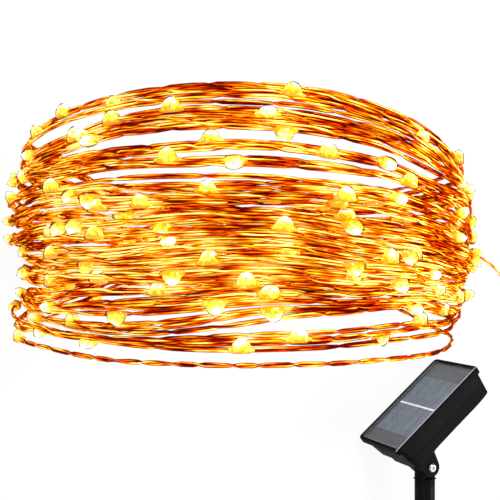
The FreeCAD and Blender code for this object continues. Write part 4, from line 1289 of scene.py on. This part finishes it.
@dataclass
class CoilTie:
    """Bare wire round the bundle of strands where the coil is tied, its sizes in millimetres.

    Args:
        winding: how the string is wound.
        radius: radius of the wire.
        sides: sides of its section.
        step: length of wire between the mesh's rings.
        loops: how many times it goes round the bundle.
        points_a_loop: control points in each loop.
        out: distance of the bundle's middle from the coil's axis.
        half_reach: half the bundle's width along the axis.
        half_depth: half its depth.
        width: how far the loops spread round the coil.
        slack: how unevenly they lie.
        squareness: powers that flatten the loops along the axis and across it.
    """

    winding: Winding
    radius: float = 0.42
    sides: int = 6
    step: float = 1.4
    loops: int = 8
    points_a_loop: int = 28
    out: float = 108.9
    half_reach: float = 22.5
    half_depth: float = 3.6
    width: float = 9.0
    slack: float = 0.3
    squareness: tuple[float, float] = (0.55, 0.8)

    def build(self, copper: bpy.types.Material) -> bpy.types.Object:
        """Winds the wire.

        Args:
            copper: its material.

        Returns:
            The piece.
        """
        spoke, axis = self.winding.spoke(self.winding.TIE), Vector((0.0, 1.0, 0.0))
        middle = self.winding.centre + spoke * self.out
        last = self.loops * self.points_a_loop
        points = []
        for k in range(last + 1):
            turn = 2 * math.pi * k / self.points_a_loop
            slip = (k / last - 0.5) * self.width + self.slack * math.sin(turn * 2.7)
            rise, depth = (math.copysign(abs(value) ** power, value)
                           for value, power in zip((math.sin(turn), math.cos(turn)), self.squareness))
            points.append(middle + axis * (rise * self.half_reach) + spoke * (depth * self.half_depth)
                          + axis.cross(spoke) * slip)
        recipe = Recipe("tie_wraps")
        radius = recipe.size("Wire Radius", self.radius * MM)
        step = recipe.size("Step", self.step * MM)
        even = recipe.node("GeometryNodeResampleCurve", {"mode": "LENGTH"}, Curve=recipe.source, Length=step)
        return recipe.run(nurbs_line("tie_line", points), recipe.sweep(even, self.sides, radius), copper,
                          "tie_wraps")


@dataclass
class LightDrops:
    """The clear drops with a light in each, and where they sit, their sizes in millimetres.

    Args:
        winding: how the string is wound.
        gap: length of string between drops.
        first: length of string before the first drop.
        gap_scatter: how unevenly they are spaced, as a share of the gap.
        end: how far before the string's end the last one sits.
        sides: sides of a drop's section.
        sections: place along the wire, height above it, depth below it and half width of a drop's sections,
            from its tip to beside its middle.
        middle: the same for its middle section.
        dome: height of the dome's middle above the wire.
        lean: how far a drop that isn't seen leans to a side, in degrees.
        forward: how far a seen drop's dome leans towards the camera.
        clearance: least height of a dome above the table.
        lift: how hard a dome that is lower is turned up.
        seed: seed of everything uneven.
    """

    winding: Winding
    gap: float = 186.0
    first: float = 1900.0
    gap_scatter: float = 0.06
    end: float = 1.5
    sides: int = 8
    sections: tuple[tuple[float, float, float, float], ...] = (
        (4.9, 0.9, 0.9, 0.9), (4.0, 1.2, 1.0, 1.2), (3.45, 1.9, 1.1, 1.7), (2.95, 3.2, 1.1, 2.2),
        (1.8, 4.5, 1.1, 2.5),
    )
    middle: tuple[float, float, float, float] = (0.0, 5.0, 1.1, 2.6)
    dome: float = 3.0
    lean: float = 75.0
    forward: float = 0.35
    clearance: float = 1.5
    lift: float = 1.2
    seed: int = 12

    # A drop is moved to a spot in the photograph where the string passes it this near, in pixels, on the near
    # side, this far from the camera at most. Of the chances, the cheapest is taken: so much a millimetre that
    # the drop is moved along the string, and so much a pixel.
    SPOT_PX, NEAR_SIDE, MOVE_COST, MISS_COST = 5.0, 400.0, 0.25, 2.0

    def spread_out(self, route: Route) -> list[tuple[float, Facing | None]]:
        """Spaces the drops along the string, and moves the nearest to each spot seen in the photograph.

        Args:
            route: the string's centreline.

        Returns:
            Length along the string and facing of each drop, the string's end last.
        """
        count = int((route.length - self.first * MM) / (self.gap * MM))
        rng = random.Random(self.seed)
        runs = [(self.first + self.gap * (k + rng.uniform(-self.gap_scatter, self.gap_scatter))) * MM
                for k in range(count)]
        facings: list[Facing | None] = [None] * count
        seen = [(*self.winding.view.project(point), run) for point, run in zip(route.points, route.runs)]
        seen = [row for row in seen if row[2] <= self.NEAR_SIDE]
        taken: set[int] = set()
        for x, y, facing in DROP_SPOTS:
            chances = []
            for column, row, _, run in seen:
                miss = math.hypot(column - x, row - y)
                k = round((run / MM - self.first) / self.gap)
                if miss <= self.SPOT_PX and 0 <= k < count - 1 and k not in taken:
                    chances.append((abs(runs[k] - run) / MM * self.MOVE_COST + miss * self.MISS_COST, k, run))
            if chances:
                _, k, run = min(chances, key=lambda chance: chance[0])
                runs[k], facings[k] = run, facing
                taken.add(k)
        runs[-1] = route.length - self.end * MM
        LOG.info("%d drops, %d of them at spots in the photograph", count, len(taken))
        return list(zip(runs, facings))

    def shape(self) -> bpy.types.Mesh:
        """Makes one drop about the wire: a skirt along X that rises to a round dome along Z.

        Returns:
            The closed mesh, with the height of each point from the wire (0) to the dome's top (1).
        """
        rings = [(-x, *sizes) for x, *sizes in self.sections] + [self.middle, *self.sections[::-1]]
        sides, verts, heights = self.sides, [], []
        for x, top, low, half in rings:
            for k in range(sides):
                turn = 2 * math.pi * k / sides
                z = math.cos(turn) * (top if math.cos(turn) > 0 else low)
                verts.append((x * MM, math.sin(turn) * half * MM, z * MM))
                heights.append(max(0.0, z / self.middle[1]))
        faces = []
        for a in range(0, len(verts) - sides, sides):
            for k in range(sides):
                after = (k + 1) % sides
                faces.append((a + k, a + after, a + sides + after, a + sides + k))
        faces += [tuple(range(sides))[::-1], tuple(range(len(verts) - sides, len(verts)))]
        mesh = bpy.data.meshes.new("drop")
        mesh.from_pydata(verts, [], faces)
        store(mesh, height=heights)
        turned = bmesh.new()
        turned.from_mesh(mesh)
        bmesh.ops.recalc_face_normals(turned, faces=turned.faces)
        turned.to_mesh(mesh)
        turned.free()
        return mesh

    def dome_way(self, place: Vector, along: Vector, facing: Facing | None, rng: random.Random) -> Vector:
        """Finds the way that a drop's dome points.

        Args:
            place: where it sits, in metres.
            along: the string's direction there.
            facing: its way in the photograph, if it is seen there.
            rng: where the other drops' lean comes from.

        Returns:
            The direction, square to the string.
        """
        view = self.winding.view
        if facing is None:
            lean = rng.uniform(-1.0, 1.0) * self.lean
            up = Quaternion(along, math.radians(lean)) @ self.winding.outward(place)
        else:
            angle = math.radians(facing.value)
            up = view.right * math.cos(angle) + view.up * math.sin(angle) + view.towards * self.forward
        up = (up - along * up.dot(along)).normalized()
        if place.z + up.z * self.middle[1] * MM < self.clearance * MM:
            up = (up + Vector((0.0, 0.0, self.lift))).normalized()
            up = (up - along * up.dot(along)).normalized()
        return up

    def build(self, route: Route, runs: Sequence[tuple[float, Facing | None]], resin: bpy.types.Material,
              name: str) -> tuple[bpy.types.Object, list[Vector]]:
        """Sets drops on the string.

        Args:
            route: the string's centreline.
            runs: length along the string and facing of each drop.
            resin: the drops' material.
            name: the piece's name.

        Returns:
            The piece, and the middle of each dome.
        """
        rng = random.Random(self.seed + 1)
        spots = [route.at(run) for run, _ in runs]
        ways = [self.dome_way(*spot, facing, rng) for spot, (_, facing) in zip(spots, runs)]
        mesh = bpy.data.meshes.new(name + "_spots")
        mesh.from_pydata([place for place, _ in spots], [], [])
        store(mesh, along=[along for _, along in spots], rise=ways)
        shape = show(name + "_shape", self.shape())
        recipe = Recipe(name)
        drop = recipe.size("Drop", shape, "NodeSocketObject")
        turn = recipe.node("FunctionNodeAxesToRotation", {"primary_axis": "X", "secondary_axis": "Z"},
                           Primary_Axis=recipe.stored("along"), Secondary_Axis=recipe.stored("rise"))
        put = recipe.node("GeometryNodeInstanceOnPoints", Rotation=turn,
                          Points=recipe.node("GeometryNodeMeshToPoints", Mesh=recipe.source),
                          Instance=recipe.node("GeometryNodeObjectInfo", Object=drop, out="Geometry"))
        made = recipe.run(show(name + "_spots", mesh), put, resin, name)
        bpy.data.objects.remove(shape)
        return made, [place + up * self.dome * MM for (place, _), up in zip(spots, ways)]


@dataclass
class StringLights:
    """The coil of copper wire, its light drops and its tie.

    Args:
        winding: how the string is wound.
        strand_radius: radius of one strand of the pair, in millimetres.
        strand_offset: distance of each strand from the pair's centreline.
        strand_sides: sides of a strand's section.
        half_twist: length of string between the pair's crossings, on the mean.
        quick: share of that length in which the pair turns over; it lies flat on the coil elsewhere.
        uneven_twist: how much the crossings' rate changes along the string.
        twist_changes: how often it changes in a metre.
        step: length of string between the mesh's rings.
        free_stretch: length of string that lies on the table before the coil, in metres.
        loose_end: length of the loose last turn, in metres.
        loose_twist: how much more the pair is twisted there.
        diameter: the cord's thickness in millimetres; not used.
        seed: seed of everything uneven.
    """

    winding: Winding
    strand_radius: float = 0.55
    strand_offset: float = 0.51
    strand_sides: int = 5
    half_twist: float = 23.0
    quick: float = 0.38
    uneven_twist: float = 1.1
    twist_changes: float = 7.0
    step: float = 4.4
    free_stretch: float = 0.7
    loose_end: float = 0.70
    loose_twist: float = 0.5
    diameter: float = 1.7
    seed: int = 11

    def build_route(self) -> Route:
        """Makes the NURBS route and reads its smooth centreline.

        Returns:
            The centreline.
        """
        points = self.winding.control_points()
        curve = nurbs_line("route", points)
        depsgraph = bpy.context.evaluated_depsgraph_get()
        mesh = bpy.data.meshes.new_from_object(curve.evaluated_get(depsgraph), depsgraph=depsgraph)
        route = Route([vertex.co.copy() for vertex in mesh.vertices])
        bpy.data.meshes.remove(mesh)
        bpy.data.objects.remove(curve)
        LOG.info("route: %d control points, %.2f m", len(points), route.length)
        return route

    def twist_angles(self, runs: Sequence[float]) -> list[float]:
        """Works out how far the pair has turned: flat on the coil, then over in a quick half turn.

        Args:
            runs: lengths along the string, in metres.

        Returns:
            The pair's angle from the coil's outward side, in radians.
        """
        angles, crossings = [], 0.0
        for before, run in zip([0.0, *runs], runs):
            rate = 1.0 + self.uneven_twist * noise.noise(Vector((run * self.twist_changes, 2.2, self.seed)))
            if run > runs[-1] - self.loose_end:
                rate += self.loose_twist
            crossings += (run - before) * rate / (self.half_twist * MM)
            turned = smooth((crossings % 1.0 - 0.5) / self.quick + 0.5)
            angles.append(math.pi * (int(crossings) + 0.5 + turned))
        return angles

    def build_pair(self, route: Route, copper: bpy.types.Material) -> bpy.types.Object:
        """Twists two strands along the route.

        Args:
            route: the string's centreline.
            copper: the strands' material.

        Returns:
            The piece.
        """
        count = int(route.length / (self.step * MM))
        runs = [route.length * k / count for k in range(count + 1)]
        places = [route.at(run)[0] for run in runs]
        mesh = bpy.data.meshes.new("centreline")
        mesh.from_pydata(places, [(k, k + 1) for k in range(count)], [])
        store(mesh, turns=self.twist_angles(runs),
              away=[self.winding.outward(place) if run > self.free_stretch else Vector((0.0, 0.0, 1.0))
                    for place, run in zip(places, runs)])
        recipe = Recipe("twisted_pair")
        radius = recipe.size("Strand Radius", self.strand_radius * MM)
        offset = recipe.size("Strand Offset", self.strand_offset * MM)
        sides = recipe.size("Strand Sides", self.strand_sides, "NodeSocketInt")
        away, turns = recipe.stored("away"), recipe.stored("turns", "FLOAT")
        path = recipe.node("GeometryNodeSetCurveNormal", {"mode": "FREE"}, Normal=away,
                           Curve=recipe.node("GeometryNodeMeshToCurve", Mesh=recipe.source))
        tangent = recipe.node("GeometryNodeInputTangent")
        strands = []
        for half in (0.0, math.pi):
            spin = recipe.node("ShaderNodeVectorRotate", {"rotation_type": "AXIS_ANGLE"}, Vector=away,
                               Axis=tangent, Angle=turns + half)
            shift = recipe.node("ShaderNodeVectorMath", {"operation": "SCALE"}, Vector=spin, Scale=offset)
            moved = recipe.node("GeometryNodeSetPosition", Geometry=path, Offset=shift)
            strands.append(recipe.sweep(moved, sides, radius))
        pair = recipe.node("GeometryNodeJoinGeometry", Geometry=strands)
        return recipe.run(show("centreline", mesh), pair, copper, "copper_string")

    def build(self) -> None:
        copper = CopperPair("copper_wire").build()
        resin = ResinDrop("clear_resin").build()
        route = self.build_route()
        pair = self.build_pair(route, copper)
        maker, tie_maker = LightDrops(self.winding), CoilTie(self.winding)
        runs = maker.spread_out(route)
        drops, domes = maker.build(route, runs[:-1], resin, "light_drops_clear")
        end, end_domes = maker.build(route, runs[-1:], resin, "end_drop_clear")
        tie = tie_maker.build(copper)
        rings = len(pair.data.vertices) // 2 // self.strand_sides
        WireTones().store_on(pair, domes + end_domes, rings, self.strand_sides, self.step)
        rings = len(tie.data.vertices) // tie_maker.sides + 1
        WireTones().store_on(tie, domes, rings, tie_maker.sides, tie_maker.step)
        for piece, nodes, slot in ((pair, ("string_coil", "string_lead"), "copper_wire"),
                                   (drops, ("light_drops",), "clear_resin"),
                                   (end, ("end_drop",), "clear_resin"), (tie, ("coil_tie",), "copper_lead")):
            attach(piece, "solar_head")
            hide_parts(*nodes)
            triangles = sum(len(face.vertices) - 2 for face in piece.data.polygons)
            LOG.info("%s: %d triangles", piece.name, triangles)


# ---------------------------------------------------------------- the solar head and its stake
@dataclass
class SolarHead:
    """The head's own pieces, as the CAD made them, in their finishes.

    Args:
        turn_in: the head's angle on the table in degrees.
        flat: pieces whose finish follows the panel.
        finishes: each node's finish.
    """

    turn_in: float = 37.0
    flat: tuple[str, ...] = ("solar_cells", "solar_laminate", "cover_glass")
    finishes: dict[str, Finish] = field(default_factory=lambda: {
        "front_shell": LippedPlastic("front_black"),
        "rear_shell": MouldedPlastic("rear_black", rough=0.46),
        "housing_seal": SpeckledPaint("seal_rubber", (0.004, 0.004, 0.004), rough=0.8, gloss=0.1),
        "solar_laminate": PanelBacking("panel_backing"),
        "solar_cells": SolarSilicon("blue_silicon"),
        "bus_bar": SpeckledPaint("tinned_bus", (0.80, 0.83, 0.86), 0.16, 0.35, 1500.0),
        "cover_glass": ClearCover("clear_cover"),
        "cover_screws": PlatedSteel("screw_steel"),
        "hinge_bolt": PlatedSteel("bolt_steel", (0.25, 0.25, 0.26), rough=0.3),
        "lock_washer": PlatedSteel("washer_steel", (0.5, 0.5, 0.5)),
        "hinge_nut": PlatedSteel("nut_steel"),
        "circuit_board": SpeckledPaint("board_mask", (0.02, 0.16, 0.06), 0.2, 0.35),
        "push_switches": SpeckledPaint("switch_case", (0.02, 0.02, 0.022)),
        "board_components": SpeckledPaint("chip_case", (0.03, 0.03, 0.032)),
        "board_screws": PlatedSteel("small_screw_steel"),
        "battery_cell": SpeckledPaint("cell_wrap", (0.05, 0.30, 0.14), 0.1, 0.3),
        "spring_contact": PlatedSteel("spring_plate", (0.75, 0.72, 0.66)),
        "plain_contact": PlatedSteel("contact_plate", (0.75, 0.72, 0.66)),
        "inner_wires": SpeckledPaint("wire_cover", (0.35, 0.03, 0.02), 0.2, 0.45),
        "power_button": MouldedPlastic("power_cap", (0.008, 0.008, 0.009), (0.02, 0.02, 0.021), rough=0.6),
        "mode_button": MouldedPlastic("mode_cap", (0.008, 0.008, 0.009), (0.02, 0.02, 0.021), rough=0.6),
        "cable_gland": MouldedPlastic("gland_rubber", rough=0.65),
    })

    def build(self) -> None:
        """Stores where the flat pieces' points lie along and across the head, and dresses every node."""
        angle = math.radians(self.turn_in)
        along, across = Vector((math.cos(angle), math.sin(angle), 0.0)), Vector((0.0, 0.0, -1.0))
        for name in self.flat:
            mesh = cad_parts[name].data
            store(mesh, head_along=[vertex.co.dot(along) for vertex in mesh.vertices],
                  head_across=[vertex.co.dot(across) for vertex in mesh.vertices])
        dress(self.finishes)


@dataclass
class GroundStake:
    """The stake's pieces, as the CAD made them, in their finishes.

    Args:
        finishes: each node's finish.
    """

    finishes: dict[str, Finish] = field(default_factory=lambda: {
        "stem_knuckle": MouldedPlastic("knuckle_black"),
        "stem_tube": MouldedPlastic("stem_black", rough=0.4, gloss=0.03, grain=1500.0),
        "ground_spike": MouldedPlastic("spike_black", rough=0.5),
    })

    def build(self) -> None:
        """Dresses every node of the stake."""
        dress(self.finishes)


def dress(finishes: dict[str, Finish]) -> None:
    """Gives CAD nodes their materials.

    Args:
        finishes: each node's finish, by the node's name.
    """
    for name, finish in finishes.items():
        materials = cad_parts[name].data.materials
        materials.clear()
        materials.append(finish.build())
        LOG.info("%s: %s", name, finish.name)


def main() -> None:
    """Builds the camera, the string, the head, the stake and the studio in order."""
    logging.basicConfig(level=logging.INFO)
    bpy.context.scene.view_settings.view_transform = "Standard"
    view = Viewpoint()
    view.build()
    for piece in (StringLights(Winding(view)), SolarHead(), GroundStake(), Studio()):
        piece.build()
        LOG.info("built %s", type(piece).__name__)


if __name__ == "__main__":
    main()
